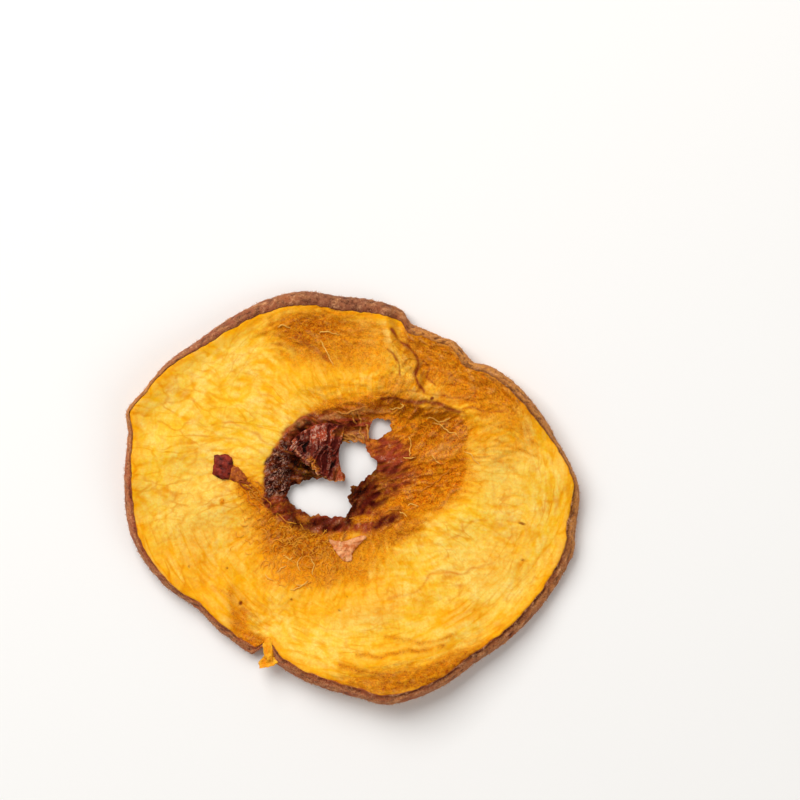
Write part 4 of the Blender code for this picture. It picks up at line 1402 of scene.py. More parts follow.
def skin_material():
    """Dried peach skin: thin brown leather under short fuzz, which dulls and greys it."""
    material, tree = new_material("dried_peach_skin")
    shades = colours()
    share = {
        layer: add(tree, VALUE, take="Fac", attribute_name=layer)
        for layer in ("red", "grey", "tan", "shaded_skin_grooves", "fuzz_and_highlight")
    }
    browned = add(tree, RANGE, (matted_noise(tree), 0.54, 0.38, 0.0, 0.6))
    tan = layered_colour(tree, opaque(shades.skin_tan), ((shades.brown, "MIX", browned),))
    pits = add(tree, RANGE, (spotted(tree, 0.34, 4.0), 0.53, 0.66))
    untanned = added_up(tree, 1.0, ((share["tan"], -0.7),))
    dots = add(tree, RANGE, (spotted(tree, 0.2, 3.0), 0.4, 0.6))
    # Dark skin over the grooves is painted shade, and fuzz colour over the ridges and the outer
    # side is partly a painted highlight.
    colour = layered_colour(tree, opaque(shades.skin), (
        (shades.skin_red, "MIX", share["red"]), (shades.skin_grey, "MIX", share["grey"]),
        (tan, "MIX", share["tan"]), (shades.skin_dark, "MIX", pits, 0.7, untanned),
        (shades.skin_dark, "MIX", share["shaded_skin_grooves"]),
        (shades.fuzz, "MIX", dots, share["fuzz_and_highlight"]),
    ))
    finish_material(tree, {
        "Base Color": colour, "Roughness": 0.7, "IOR": FRUIT_IOR, "Specular IOR Level": 0.12,
        "Sheen Weight": 0.03, "Sheen Roughness": 0.5, "Sheen Tint": opaque(SKIN_BLOOM),
    }, spotted(tree, 0.3, 4.0), 0.9, 0.1)
    return material


def scrap_material(name, light, dark, rough):
    """A dried scrap of flesh or lining: two colours in spots that lie 0.8 mm apart."""
    material, tree = new_material(name)
    spots = add(tree, RANGE, (spotted(tree, 0.8, 4.0), 0.35, 0.65))
    colour = layered_colour(tree, opaque(linear(dark)), ((linear(light), "MIX", spots),))
    finish_material(tree, {
        "Base Color": colour, "Roughness": rough, "IOR": FRUIT_IOR, "Specular IOR Level": 0.15,
        "Subsurface Weight": 0.1, "Subsurface Radius": (1.0, 0.3, 0.1),
        "Subsurface Scale": 0.5 * MM,
    }, spotted(tree, 0.35, 4.0), 0.8, 0.1)
    return material


def fibre_material(name, light, dark):
    """Dried pale fibres and hairs: slightly clear, with darker stretches."""
    material, tree = new_material(name)
    colour = layered_colour(tree, opaque(linear(dark)), ((light, "MIX", spotted(tree, 1.2)),))
    finish_material(tree, {
        "Base Color": colour, "Roughness": 0.45, "IOR": FRUIT_IOR, "Specular IOR Level": 0.2,
        "Subsurface Weight": 0.1, "Subsurface Radius": (1.0, 0.6, 0.3),
        "Subsurface Scale": 0.3 * MM,
    })
    return material


def bearings(steps):
    return np.arange(steps) / steps * 2.0 * math.pi


def neighbours(count):
    """The numbers round a closed ring, each with the next one."""
    return zip(range(count), (*range(1, count), 0))


def torn_edge(bearing):
    """Radius of the torn edge where the flesh meets the lining."""
    round_x = TORN_CIRCLE * np.cos(bearing)
    round_y = TORN_CIRCLE * np.sin(bearing)
    hollow = edge_radius(HOLLOW_EDGE, bearing)
    return hollow + 0.25 * layered_noise(round_x, round_y, 1.6, 91, 3)


def skin_edge(bearing):
    """Radius of the skin's wavy inner edge on the upper face."""
    around = bearing / (2.0 * math.pi)
    still = np.zeros(len(bearing))
    wave = 0.14 * gradient_noise(around * 96.0, still, 5, 96)
    wave = wave + 0.07 * gradient_noise(around * 240.0, still, 6, 240)
    return band_radii(bearing)[1] + wave


def on_circle(radius, bearing):
    x, y = HOLLOW_CENTRE
    return x + radius * np.cos(bearing), y + radius * np.sin(bearing)


def read_ring(maps, radius, bearing, *names):
    """The sum of maps along a ring round the hollow."""
    x, y = on_circle(radius, bearing)
    return sum(Map.read(maps[name], x, y) for name in names)


def ring(radius, bearing, height):
    """The places of a ring round the hollow."""
    return np.stack((*on_circle(radius, bearing), height), axis=1)


def make_flesh():
    """The upper cut face, from just under the lining out to under the skin."""
    maps = top_maps()
    bearing = bearings(FLESH_STEPS)
    edge = torn_edge(bearing)
    inner = skin_edge(bearing)
    stop = np.minimum(inner + FLESH_REACH_OUT, band_radii(bearing)[2] - 0.4)
    rows = []
    for share in np.arange(FLESH_ROWS) / (FLESH_ROWS - 1):
        radius = edge - FLESH_REACH_IN + (stop + FLESH_REACH_IN - edge) * share
        tuck = FLESH_TUCK_IN * smooth((edge - radius) / FLESH_REACH_IN)
        tuck = tuck + FLESH_TUCK_OUT * smooth((radius - inner + 0.1) / 0.25)
        height = read_ring(maps, radius, bearing, "form", "relief") - tuck
        rows.append(ring(radius, bearing, height))
    top = read_ring(maps, inner, bearing, "form")
    base = read_ring(maps, inner, bearing, "low")
    middle = base + 0.4 * (top - base)
    rows.append(ring(stop - 0.05, bearing, top - 0.9))
    for radius in (inner - 0.4, 0.5 * (inner + edge), edge + 0.6, edge + 0.1, edge - 0.35):
        rows.append(ring(radius, bearing, middle))
    first = rows[0][:, 2]
    rows[-1][:, 2] = first - 0.3
    for row in rows[-3:-1]:
        row[:, 2] = np.minimum(row[:, 2], first - 0.6)
    piece = band_mesh("peach_flesh", np.array(rows))
    paint(piece.data, maps, (*LAYERS, "fibrous"))
    return piece


def make_underside():
    """The lower cut face, from the foot of the hollow out to under the skin."""
    maps = under_maps()
    bearing = bearings(UNDER_STEPS)
    hollow, _, outer = band_radii(bearing)
    start = hollow * 0.9
    stop = outer - UNDER_INSET + 0.2
    rows = [
        ring(radius, bearing, read_ring(maps, radius, bearing, "low") + rise)
        for radius, rise in ((start + 0.3, 0.5), (0.5 * (start + stop), 1.2),
                             (stop - 0.6, 1.2), (stop, 0.5))
    ]
    for share in np.arange(UNDER_ROWS) / (UNDER_ROWS - 1):
        radius = stop + (start - stop) * share
        relief = read_ring(maps, radius, bearing, "relief")
        height = np.maximum(read_ring(maps, radius, bearing, "low") - relief, 0.01)
        rows.append(ring(radius, bearing, height))
    piece = band_mesh("peach_underside", np.array(rows))
    paint(piece.data, maps)
    return piece


def make_skin():
    """The skin: from its lip over the flesh, round the side and back in underneath."""
    maps = top_maps()
    bearing = bearings(SKIN_STEPS)
    outer = band_radii(bearing)[2]
    inner = skin_edge(bearing)
    rim_top = read_ring(maps, inner, bearing, "form") + SKIN_LIP
    low = read_ring(maps, outer - UNDER_INSET, bearing, "low")
    belly = low + (rim_top - low) * BELLY
    section = [(inner - 0.1, rim_top - 0.35)]
    for turn in np.linspace(math.pi / 2.0, 0.0, 20):
        radius = outer - (outer - inner) * (1.0 - math.cos(turn))
        section.append((radius, belly + (rim_top - belly) * math.sin(turn)))
    side = low + (rim_top - low) * SIDE_LEVEL
    for share in (0.25, 0.5, 0.75, 1.0):
        section.append((outer - SIDE_INSET * share**2, belly + (side - belly) * share))
    foot = outer - UNDER_INSET - 0.1
    for share in (0.3, 0.65, 1.0):
        section.append((outer - SIDE_INSET + (foot - outer + SIDE_INSET) * share,
                        side + (low + 0.02 - side) * smooth(share**0.7)))
    visible = len(section)
    section.append((foot - 0.1, low + 0.3))
    section.append((inner - 0.5, low + 0.5 * (rim_top - low)))
    section.append((inner - 0.3, rim_top - 0.9))
    points = np.array([ring(radius, bearing, height) for radius, height in section])

    # Wrinkles and puckers over the part that shows, by turns round it and millimetres
    # across it.
    step = np.linalg.norm(np.diff(points[:visible], axis=0), axis=2).mean(axis=1)
    across = np.concatenate(((0.0,), np.cumsum(step)))
    u = (bearing / (2.0 * math.pi))[None, :] * np.ones(visible)[:, None]
    v = across[:, None] * np.ones(SKIN_STEPS)[None, :]

    def around(count, spacing, seed, lean=0.0, shift=0.0):
        """Noise with so many swellings round the slice and a spacing across its skin."""
        return gradient_noise(u * count + lean, v / spacing + shift, seed, count)

    sway = 0.6 * around(60, 2.5, 21)
    along = around(72, 0.55, 22, shift=sway)
    puckers = around(220, 1.5, 23, lean=1.1 * v + 0.6 * sway)
    fine = around(252, 0.4, 24)
    finest = gradient_noise(u * 500.0 + v, v / 0.25, 25, 250)
    wrinkle = 0.45 * along + 0.6 * puckers + 0.3 * fine + 0.2 * finest
    fade = smooth(np.minimum(np.arange(visible), visible - 1 - np.arange(visible)) / 2.0)[:, None]
    push = sizes().skin_wrinkle / MM * (wrinkle - 0.35) * fade
    points[:visible] += normals_of(points)[:visible] * push[:, :, None]
    points[:, :, 2] = np.maximum(points[:, :, 2], 0.0)
    piece = band_mesh("peach_skin", points)

    blotch = around(48, 3.0, 31)
    patchy = around(120, 1.2, 32)
    shade, red, grey, tan = (
        by_bearing(table, bearing)[None, :]
        for table in (INNER_SHADE, SKIN_RED, SKIN_GREY, SKIN_TAN)
    )
    # Painted shade: a dark line just inside the skin's inner edge.
    shade = shade * bell(v - 0.45, 0.3) * (0.85 + 0.3 * patchy)
    # A paler band of fuzz colour along the outer side, partly a painted highlight, strongest
    # towards the lower left.
    below = 0.6 + 0.4 * np.sin(bearing - math.radians(150.0))[None, :]
    outer_dust = 0.7 * smooth((v - 0.5) / 0.5) * below * (0.6 + 0.6 * patchy)
    height = points[:visible, :, 2]
    haired = smooth((height - HAIRLESS_UNDER) / 0.2) * smooth((HAIRLESS_OVER - height) / 0.2)
    hidden = np.zeros((len(section) - visible, SKIN_STEPS))
    for name, values in (
        # Painted shade in the wrinkles' grooves and along the inner edge.
        ("shaded_skin_grooves", np.maximum(smooth((-0.06 - wrinkle) / 0.45) * 0.75, shade)),
        ("red", red + 0.35 * blotch + 0.2 * patchy),
        ("grey", grey + 0.3 * blotch + 0.25 * patchy),
        ("tan", tan + 0.35 * patchy),
        # Fuzz colour on the wrinkles' ridges and the outer band: partly fuzz, partly a painted
        # highlight.
        ("fuzz_and_highlight", smooth((wrinkle - 0.05) / 0.5) * (0.6 + 0.3 * patchy) + outer_dust),
        ("hairy", (0.5 + 0.5 * patchy) * fade * haired),
    ):
        set_values(piece.data, name, np.vstack((unit(values), hidden)))
    return piece


def torn_outline(outline, size, seed):
    """A tear's outline with rounded corners and fine teeth, in millimetres."""
    closed = tuple(outline) + (outline[0],)
    points = curve_through(closed, 14)[:-1]
    step = np.roll(points, -1, axis=0) - np.roll(points, 1, axis=0)
    outward = np.stack((step[:, 1], -step[:, 0]), axis=1)
    outward /= np.linalg.norm(outward, axis=1, keepdims=True)
    teeth = layered_noise(points[:, 0], points[:, 1], 0.8, seed, 3)
    return points + outward * (size * teeth)[:, None]


def make_cutter(outline, name):
    """An upright prism through the whole slice."""
    work = bmesh.new()
    bottom, top = (
        [work.verts.new((x * MM, y * MM, level * MM)) for x, y in outline]
        for level in CUT_LEVELS
    )
    work.faces.new(bottom)
    work.faces.new(top)
    for here, after in neighbours(len(outline)):
        work.faces.new((bottom[here], bottom[after], top[after], top[here]))
    return closed_piece(name, work, smooth_faces=False)


def cut(piece, outlines):
    """Cut a piece through with upright prisms, and keep the plain mesh."""
    cutters = [make_cutter(outline, "tear_cutter") for outline in outlines]
    for cutter in cutters:
        modifier = piece.modifiers.new("tear", "BOOLEAN")
        modifier.operation = "DIFFERENCE"
        modifier.solver = "MANIFOLD"
        modifier.object = cutter
    piece.data = settled(piece)
    for cutter in cutters:
        bpy.data.objects.remove(cutter)


def make_lining():
    """The lining of the hollow: its wall, its ramp and its torn floor."""
    maps = top_maps()
    bearing = bearings(LINING_STEPS)
    edge = torn_edge(bearing)
    rows = []
    for share in np.linspace(LINING_START, 1.0, LINING_ROWS):
        radius = (edge + LINING_REACH) * share
        tuck = LINING_TUCK * smooth((radius - edge - 0.05) / 0.45)
        rows.append(ring(radius, bearing, read_ring(maps, radius, bearing, "form") - tuck))
    for share in np.linspace(1.0, LINING_START, 26):
        radius = (edge_radius(HOLLOW_EDGE, bearing) * 0.93) * share
        base = read_ring(maps, radius, bearing, "low")
        relief = read_ring(under_maps(), radius, bearing, "relief")
        rows.append(ring(radius, bearing, np.maximum(base - relief - 0.02, 0.0)))
    points = np.array(rows)
    x, y, z = np.moveaxis(points[:LINING_ROWS], 2, 0)
    round_x = TORN_CIRCLE * np.cos(bearing)[None, :] + 0.0 * x
    round_y = TORN_CIRCLE * np.sin(bearing)[None, :] + z * 1.3
    crumbs = layered_noise(round_x, round_y, 0.7, 61, 3)
    push = Map.read(maps["relief"], x, y) + 0.14 * crumbs * Map.read(maps["crumbly"], x, y)
    steep = smooth((edge - np.hypot(x - HOLLOW_CENTRE[0], y - HOLLOW_CENTRE[1])) / 0.8)
    points[:LINING_ROWS] += normals_of(points)[:LINING_ROWS] * (push * steep)[:, :, None]
    points[:LINING_ROWS, :, 2] += push * (1.0 - steep)
    piece = band_mesh("hollow_lining", points)
    cut(piece, (torn_outline(LARGE_TEAR, 0.3, 41), torn_outline(SMALL_TEAR, 0.26, 42)))
    paint(piece.data, maps)
    return piece


def between(points, count):
    """Places at even steps along a smooth line through points."""
    line = curve_through(points, 12)
    step = np.linalg.norm(np.diff(line, axis=0), axis=1)
    length = np.concatenate(((0.0,), np.cumsum(step)))
    at = np.linspace(0.0, length[-1], count)
    return np.stack([np.interp(at, length, line[:, axis]) for axis in range(3)], axis=1)


def make_flap():
    """The dark flap of torn lining, as a closed sheet with a ragged free edge."""
    maps = top_maps()
    lines = np.array([between(line, FLAP_STEPS) for line in FLAP_LINES])
    across = np.array([between(lines[:, column], FLAP_STEPS) for column in range(FLAP_STEPS)])
    sheet = np.transpose(across, (1, 0, 2)).copy()
    share = np.linspace(0.0, 1.0, FLAP_STEPS)
    u = share[None, :] * np.ones((FLAP_STEPS, 1))
    v = share[:, None] * np.ones((1, FLAP_STEPS))
    teeth = layered_noise(u[0] * FLAP_LENGTH, np.zeros(FLAP_STEPS), 0.7, 57, 3)
    sheet[:, :, :2] += (v**3 * 0.3 * teeth[None, :])[:, :, None] * np.array((-0.45, -0.9))
    base = Map.read(maps["low"], sheet[:, :, 0], sheet[:, :, 1])
    sheet[:, :, 2] += base - LINING + 0.35
    bent = 0.8 * gradient_noise(u * 5.0, v * 4.0, 59)
    slant = u * FLAP_LENGTH + 4.0 * v + bent
    ridges = 0.42 - np.abs(layered_noise(slant, v * 1.7 + 0.5 * bent, 1.1, 51, 3))
    small = layered_noise(u * FLAP_LENGTH, v * 6.5, 0.35, 54, 2)
    sheet[:, :, 2] += 0.4 * ridges + 0.08 * small
    under = sheet.copy()
    under[:, :, 2] -= FLAP_THICKNESS * (0.6 + 0.4 * np.sin(math.pi * np.clip(v, 0.05, 0.95)))
    work = bmesh.new()
    grids = []
    for layer in (sheet, under):
        grid = [[work.verts.new(tuple(place * MM)) for place in row] for row in layer]
        for row, after in zip(grid, grid[1:]):
            for place in range(FLAP_STEPS - 1):
                corners = [row[place], after[place], after[place + 1], row[place + 1]]
                work.faces.new(corners[::-1] if grids else corners)
        grids.append(grid)
    rim, under_rim = (
        [*grid[0][:-1], *(row[-1] for row in grid[:-1]), *grid[-1][:0:-1],
         *(row[0] for row in grid[:0:-1])]
        for grid in grids
    )
    for here, after in neighbours(len(rim)):
        work.faces.new((rim[here], rim[after], under_rim[after], under_rim[here]))
    piece = closed_piece("torn_flap", work)

    x, y, _ = places(piece.data)
    high, down, grit = (np.concatenate((found.ravel(),) * 2) for found in (ridges, v, small))
    ragged = 0.2 * grit - 0.5 * (high - 0.1)
    dark, pink, red, orange = (
        patches(table, x, y, ragged) for table in (FLAP_DARK, FLAP_PINK_HIGHLIGHTS, FLAP_RED, FLAP_ORANGE)
    )
    # The pale line along the curled left edge is partly a painted highlight.
    ridge = drawn_lines(FLAP_RIDGE, x, y)
    lit = unit(pink + orange + red + ridge)
    # Painted shade gathers in the creases between the flap's ridges.
    creases = smooth(0.75 - 2.2 * high - 0.5 * grit)
    # Painted highlight: a thin pale line along the free edge.
    free_edge_highlight = 0.5 * smooth((down - 0.975) / 0.02) * smooth(0.5 + high)
    for name, values in {
        **dict.fromkeys(LAYERS, np.zeros(len(high))),
        "amber": orange, "brown": 0.9 * np.maximum(red, 0.7 * orange),
        "mauve": 1.0 - 0.9 * orange - 0.4 * red,
        # Purple and black in the creases and low parts are painted shade, and the ashy colour on
        # the high ridges a painted highlight.
        "purple": np.maximum(0.8 * (1.0 - lit) + 0.2 * creases, 0.85 * creases * (1.0 - red)),
        "black": 0.6 * dark * (1.0 - lit) * smooth(0.9 - 1.4 * high) + 0.45 * creases**2,
        "strand": free_edge_highlight + 0.3 * ridge * smooth(0.6 + high),
        "ash_and_highlight": (0.25 + 0.75 * pink) * smooth(2.6 * high + 0.1) + 0.5 * ridge,
        "hollowed": np.full(len(high), 0.5),
    }.items():
        set_values(piece.data, name, unit(values))
    return piece


def surface_height(x, y):
    """Height of the dressed upper side at a place."""
    maps = top_maps()
    return Map.read(maps["form"], x, y) + Map.read(maps["relief"], x, y)


def make_lump(name, place, size, turn, rise, seed, facets, squareness):
    """A creased lump with broken facets, half sunk in the upper side."""
    work = bmesh.new()
    bmesh.ops.create_cube(work, size=1.0)
    bmesh.ops.subdivide_edges(work, edges=work.edges, cuts=LUMP_CUTS, use_grid_fill=True)
    x, y = place
    height = float(surface_height(np.array(x), np.array(y))) + rise
    turn = math.radians(turn)
    offset = Vector((seed * 3.7, seed * 1.3, 0.0))
    draw = np.random.default_rng(seed)
    cuts = [(Vector(draw.normal(size=3)).normalized(), draw.uniform(0.26, 0.42))
            for _ in range(facets)]
    for vertex in work.verts:
        inside = vertex.co.copy()
        inside /= max(inside.length / squareness, 1.0)
        coarse = noise.noise(inside * 2.2 + offset)
        creases = abs(noise.noise(inside * 4.5 + offset))
        inside *= 0.86 + 0.34 * coarse + 0.22 * creases
        for normal, reach in cuts:
            inside -= normal * max(inside.dot(normal) - reach, 0.0)
        inside += inside.normalized() * 0.05 * noise.noise(inside * 13.0 + offset)
        u, v, w = (part * whole for part, whole in zip(inside, size))
        vertex.co = Vector((
            x + u * math.cos(turn) - v * math.sin(turn),
            y + u * math.sin(turn) + v * math.cos(turn),
            max(height + w, 0.02),
        )) * MM
    return closed_piece(name, work)


def make_flake(name, outline, thickness, seed):
    """A dried flake that lies on the upper side: broken facets inside a drawn outline."""
    draw = np.random.default_rng(seed)
    edge = curve_through((*outline, outline[0]), 12)[:-1]
    edge = edge + 0.12 * np.stack([
        gradient_noise(*(edge / 0.4).T, number) for number in (seed, seed + 1)
    ], axis=1)
    centre = edge.mean(axis=0)
    facets = [
        (draw.uniform(-0.35, 0.35, 2), draw.uniform(0.75, 1.15))
        for _ in range(FLAKE_FACETS)
    ]

    def level(share, rise):
        """Places at a share of the way out, raised by a share of the thickness."""
        x, y = (centre + (edge - centre) * share).T
        top = np.full(x.shape, 2.0)
        for slope, reach in facets:
            plane = reach + (x - centre[0]) * slope[0] + (y - centre[1]) * slope[1]
            top = np.minimum(top, plane)
        rough = 0.12 * layered_noise(x, y, 0.5, seed + 2, 2)
        height = np.maximum(top, 0.25) * thickness * rise + rough * rise
        return np.stack((x, y, surface_height(x, y) + height), axis=1)

    shares = np.linspace(0.04, 1.0, FLAKE_RINGS)
    levels = [level(share, 1.0 - 0.55 * share**6) for share in shares]
    levels += [level(1.0, -0.3), level(0.04, -0.3)]
    work = bmesh.new()
    grid = [[work.verts.new(tuple(place * MM)) for place in row] for row in levels]
    for inner, outer in zip(grid, grid[1:]):
        for here, after in neighbours(len(edge)):
            work.faces.new((inner[here], outer[here], outer[after], inner[after]))
    work.faces.new(grid[0][::-1])
    work.faces.new(grid[-1])
    return closed_piece(name, work)


def socket_id(tree, name):
    """The identifier of a tree's named input."""
    for item in tree.interface.items_tree:
        if item.name == name and item.in_out == "INPUT":
            return item.identifier
    raise ValueError(f"the tree has no input named {name}")


def new_tree(name, numbers):
    """A tree with a geometry, numbers and a material as inputs, and those inputs."""
    tree = bpy.data.node_groups.new(name, "GeometryNodeTree")
    for way in ("INPUT", "OUTPUT"):
        tree.interface.new_socket("Geometry", in_out=way, socket_type="NodeSocketGeometry")
    for label, default in numbers.items():
        socket = tree.interface.new_socket(label, in_out="INPUT", socket_type="NodeSocketFloat")
        socket.default_value = default
    tree.interface.new_socket("Material", in_out="INPUT", socket_type="NodeSocketMaterial")
    return tree, tree.nodes.new("NodeGroupInput").outputs


def end_tree(tree, given, made):
    """Turn what a tree makes into real faces, and give it the material."""
    whole = add(tree, "GeometryNodeRealizeInstances", (made,))
    coloured = add(tree, "GeometryNodeSetMaterial", {
        "Geometry": whole, "Material": given["Material"],
    })
    add(tree, "NodeGroupOutput", (coloured,))
    return tree


def grown(source, tree, values, name):
    """Run a tree on an object and keep the result as a plain mesh object."""
    modifier = source.modifiers.new(name, "NODES")
    modifier.node_group = tree
    for label, value in values.items():
        modifier[socket_id(tree, label)] = value
    return linked(name, settled(source))


def tube(tree, given, line, sides, more):
    """A thin tube along a line."""
    radius = add(tree, MATH, (given["Width"], 0.5), operation="MULTIPLY")
    ring = add(tree, "GeometryNodeCurvePrimitiveCircle", {"Resolution": sides, "Radius": radius})
    return add(tree, "GeometryNodeCurveToMesh", {
        "Curve": line, "Profile Curve": ring, "Fill Caps": True, **more,
    })


def fibre_tree():
    """Turns curves into thin fibres that taper at both ends."""
    tree, given = new_tree("peach_fibres", {"Width": 0.00015})
    ends = add(tree, MATH, (add(tree, "GeometryNodeSplineParameter"), 0.5), operation="PINGPONG")
    taper = add(tree, RANGE, (ends, 0.0, 0.14, 0.35, 1.0))
    return end_tree(tree, given, tube(tree, given, given["Geometry"], 6, {"Scale": taper}))


def one_hair(tree, given):
    """A straight tapered hair."""
    top, bottom = (
        add(tree, MATH, (given["Width"], share), operation="MULTIPLY") for share in (0.15, 0.5)
    )
    return add(tree, "GeometryNodeMeshCone", {
        "Vertices": 4, "Side Segments": 2, "Radius Top": top, "Radius Bottom": bottom,
        "Depth": given["Length"],
    })


def one_curl(tree, given):
    """A short arched fibre."""
    half = add(tree, MATH, (given["Length"], 0.5), operation="MULTIPLY")
    back, rise = (add(tree, MATH, (half, share), operation="MULTIPLY") for share in (-1.0, 0.3))
    start, middle, end = (
        add(tree, "ShaderNodeCombineXYZ", place)
        for place in ({"X": back}, {"Y": half, "Z": rise}, {"X": half})
    )
    arc = add(tree, "GeometryNodeCurveQuadraticBezier", (7, start, middle, end))
    return tube(tree, given, arc, 4, {})


def scatter_tree(name, shape, spread, seed, lean, scales):
    """Scatters a small shape on a surface, turned at random, where its values say so."""
    tree, given = new_tree(name, {"Density": 1.0e6, "Length": 0.0008, "Width": 0.00006})
    density = add(tree, "GeometryNodeInputNamedAttribute", (spread,))
    density = add(tree, MATH, (density, given["Density"]), operation="MULTIPLY")
    points = add(tree, "GeometryNodeDistributePointsOnFaces", {
        "Mesh": given["Geometry"], "Density": density, "Seed": seed,
    })
    tilt = add(tree, RANDOM, {
        "Min": (-lean, -lean, 0.0), "Max": (lean, lean, FULL_TURN), "Seed": seed + 1,
    }, data_type="FLOAT_VECTOR")
    tilt = add(tree, "FunctionNodeEulerToRotation", (tilt,))
    turned = add(tree, "FunctionNodeRotateRotation", (points.node.outputs["Rotation"], tilt))
    size = add(tree, RANDOM, {"Min": scales[0], "Max": scales[1], "Seed": seed + 2},
               data_type="FLOAT")
    made = add(tree, "GeometryNodeInstanceOnPoints", {
        "Points": points, "Instance": shape(tree, given), "Rotation": turned, "Scale": size,
    })
    return end_tree(tree, given, made)


def make_fibres(name, lines, width, material):
    """Loose fibres or strands, each a thin tube that follows a wandering line."""
    curve = bpy.data.curves.new(name, "CURVE")
    curve.dimensions = "3D"
    for number, points in enumerate(lines, FIBRE_SEED):
        line = curve_through(points, FIBRE_STEPS)
        x, y = (
            along + FIBRE_WANDER * gradient_noise(*(line / 0.5).T, start)
            for along, start in zip(line.T, (number, number + 99))
        )
        arch = FIBRE_ARCH * np.sin(np.linspace(0.0, math.pi, len(line)))
        height = surface_height(x, y) + width / MM * 0.3 + arch
        spline = curve.splines.new("POLY")
        spline.points.add(len(line) - 1)
        for point, place in zip(spline.points, zip(x, y, height)):
            point.co = (*(value * MM for value in place), 1.0)
    guide = linked("fibre_guide", curve)
    piece = grown(guide, fibre_tree(), {"Width": width, "Material": material}, name)
    bpy.data.objects.remove(guide)
    piece.data.shade_smooth()
    return piece


class PEACH_OT_flesh(bpy.types.Operator):
    """Make both cut faces of the slice and the fibres matted on the upper one"""

    bl_idname = "peach.flesh"
    bl_label = "Flesh"

    def execute(self, context):
        material = flesh_material("dried_peach_flesh", 0.44, 0.1)
        flesh = make_flesh()
        finish_piece(flesh, material, instead=True)
        finish_piece(make_underside(), material, instead=True)
        material = fibre_material("amber_peach_fibre", linear("#FFBA3A"), "#DC8414")
        tree = scatter_tree("peach_curls", one_curl, "fibrous", 17, 0.35, (0.4, 1.4))
        curls = grown(flesh, tree, {
            "Density": CURL_DENSITY, "Length": sizes().curl_length, "Width": CURL_WIDTH * MM,
            "Material": material,
        }, "amber_curls")
        finish_piece(curls, material)
        return {"FINISHED"}


class PEACH_OT_skin(bpy.types.Operator):
    """Make the skin round the edge and the fuzz on it"""

    bl_idname = "peach.skin"
    bl_label = "Skin"

    def execute(self, context):
        skin = make_skin()
        finish_piece(skin, skin_material(), instead=True)
        material = fibre_material("peach_fuzz", colours().fuzz, "#A06A4C")
        tree = scatter_tree("peach_fuzz", one_hair, "hairy", 7, 0.9, (0.45, 1.3))
        fuzz = grown(skin, tree, {
            "Density": FUZZ_DENSITY, "Length": sizes().fuzz_length, "Width": FUZZ_WIDTH * MM,
            "Material": material,
        }, "skin_fuzz")
        finish_piece(fuzz, material)
        return {"FINISHED"}


class PEACH_OT_lining(bpy.types.Operator):
    """Make the lining of the stone's hollow with its tears and its flap"""

    bl_idname = "peach.lining"
    bl_label = "Lining"

    def execute(self, context):
        material = flesh_material("dried_stone_lining", 0.42, 0.08)
        finish_piece(make_lining(), material, instead=True)
        finish_piece(make_flap(), material, instead=True)
        return {"FINISHED"}


class PEACH_OT_scraps(bpy.types.Operator):
    """Make the scraps that dried on to the slice"""

    bl_idname = "peach.scraps"
    bl_label = "Scraps"

    def execute(self, context):
        for name, (outline, thickness, seed, *material) in FLAKES.items():
            flake = make_flake(name, outline, thickness, seed)
            finish_piece(flake, scrap_material(*material, 0.5))
        tag = scrap_material("dried_flesh_tag", "#FFC02C", "#F08C00", 0.4)
        for name, lump in TAG_LUMPS.items():
            finish_piece(make_lump(name, *lump), tag)
        return {"FINISHED"}


class PEACH_OT_fibres(bpy.types.Operator):
    """Make the pale fibres that lie in and round the hollow"""

    bl_idname = "peach.fibres"
    bl_label = "Fibres"

    def execute(self, context):
        for name, (lines, wider, finish, light, dark) in LOOSE_FIBRES.items():
            material = fibre_material(finish, linear(light), dark)
            width = wider * sizes().fibre_width
            finish_piece(make_fibres(name, lines, width, material), material)
        return {"FINISHED"}


class PEACH_OT_stage(bpy.types.Operator):
    """Make the table, the lights and the camera"""

    bl_idname = "peach.stage"
    bl_label = "Stage"

    def execute(self, context):
        make_stage(context)
        return {"FINISHED"}


# The camera looks straight down. The picture is this wide at the height of the slice,
# and its middle lies here on the table.
PICTURE_WIDTH = 100.2
PICTURE_MIDDLE = (6.0, 12.3)
CAMERA_HEIGHT = 500.0
SENSOR_WIDTH = 36.0
SLICE_LEVEL = 4.0

# The table and the lights in metres and watts: name, width, place and power.
TABLE_WIDTH = 1.2
SOFTBOXES = (
    ("main_softbox", 0.45, (-0.22, 0.3, 0.5), 3.8),
    ("fill_softbox", 0.5, (0.4, -0.2, 0.5), 0.85),
)
STUDIO_COLOUR = (1.0, 0.99, 0.97, 1.0)
STUDIO_STRENGTH = 0.27


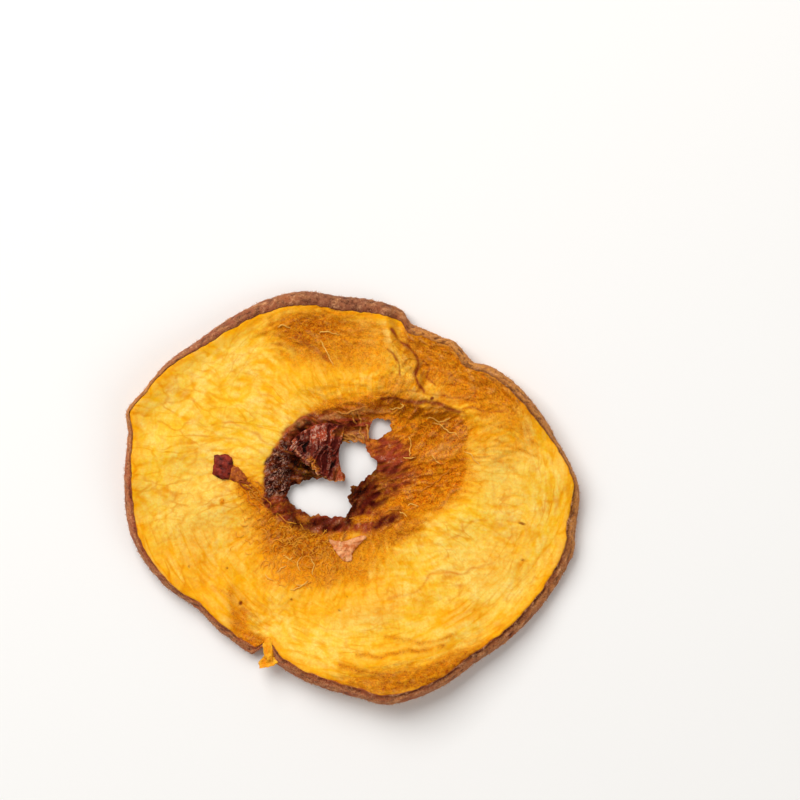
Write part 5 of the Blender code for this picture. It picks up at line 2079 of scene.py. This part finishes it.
def make_stage(context):
    """A plain pale table, two soft lights from above, a pale studio and the camera."""
    bpy.ops.mesh.primitive_plane_add(size=TABLE_WIDTH)
    floor = context.object
    floor.name = "table"
    material, tree = new_material("matt_pale_table")
    finish_material(tree, {"Base Color": opaque(colours().floor), "Roughness": 0.8})
    floor.data.materials.append(material)

    for name, size, place, watts in SOFTBOXES:
        data = bpy.data.lights.new(name, "AREA")
        data.shape = "SQUARE"
        data.size = size
        data.energy = watts
        light = linked(name, data)
        light.location = place
        light.rotation_euler = (-Vector(place)).to_track_quat("-Z", "Y").to_euler()
    world = bpy.data.worlds.new("studio")
    world.use_nodes = True
    background = world.node_tree.nodes["Background"].inputs
    background["Color"].default_value = STUDIO_COLOUR
    background["Strength"].default_value = STUDIO_STRENGTH
    context.scene.world = world
    context.scene.view_settings.view_transform = "Standard"

    data = bpy.data.cameras.new("camera")
    data.sensor_width = SENSOR_WIDTH
    data.lens = SENSOR_WIDTH * (CAMERA_HEIGHT - SLICE_LEVEL) / PICTURE_WIDTH
    data.clip_start = 0.01
    camera = linked("camera", data)
    camera.location = (PICTURE_MIDDLE[0] * MM, PICTURE_MIDDLE[1] * MM, CAMERA_HEIGHT * MM)
    context.scene.camera = camera


OPERATORS = (
    PEACH_OT_flesh, PEACH_OT_skin, PEACH_OT_lining, PEACH_OT_scraps, PEACH_OT_fibres,
    PEACH_OT_stage,
)


class PEACH_PT_panel(bpy.types.Panel):
    """The slice's pieces, sizes and colours"""

    bl_idname = "PEACH_PT_panel"
    bl_label = "Dried Peach"
    bl_space_type = "VIEW_3D"
    bl_region_type = "UI"
    bl_category = "Dried Peach"

    def draw(self, context):
        column = self.layout.column()
        for operator in OPERATORS:
            column.operator(operator.bl_idname)
        for group in (context.scene.peach_sizes, context.scene.peach_colours):
            for name in group.__annotations__:
                column.prop(group, name)


CLASSES = (PeachSizes, PeachColours, *OPERATORS, PEACH_PT_panel)


def register():
    for entry in CLASSES:
        bpy.utils.register_class(entry)
    bpy.types.Scene.peach_sizes = bpy.props.PointerProperty(type=PeachSizes)
    bpy.types.Scene.peach_colours = bpy.props.PointerProperty(type=PeachColours)


def unregister():
    del bpy.types.Scene.peach_colours
    del bpy.types.Scene.peach_sizes
    for entry in reversed(CLASSES):
        bpy.utils.unregister_class(entry)


def main():
    register()
    bpy.ops.peach.flesh()
    bpy.ops.peach.skin()
    bpy.ops.peach.lining()
    bpy.ops.peach.scraps()
    bpy.ops.peach.fibres()
    bpy.ops.peach.stage()


if __name__ == "__main__":
    main()
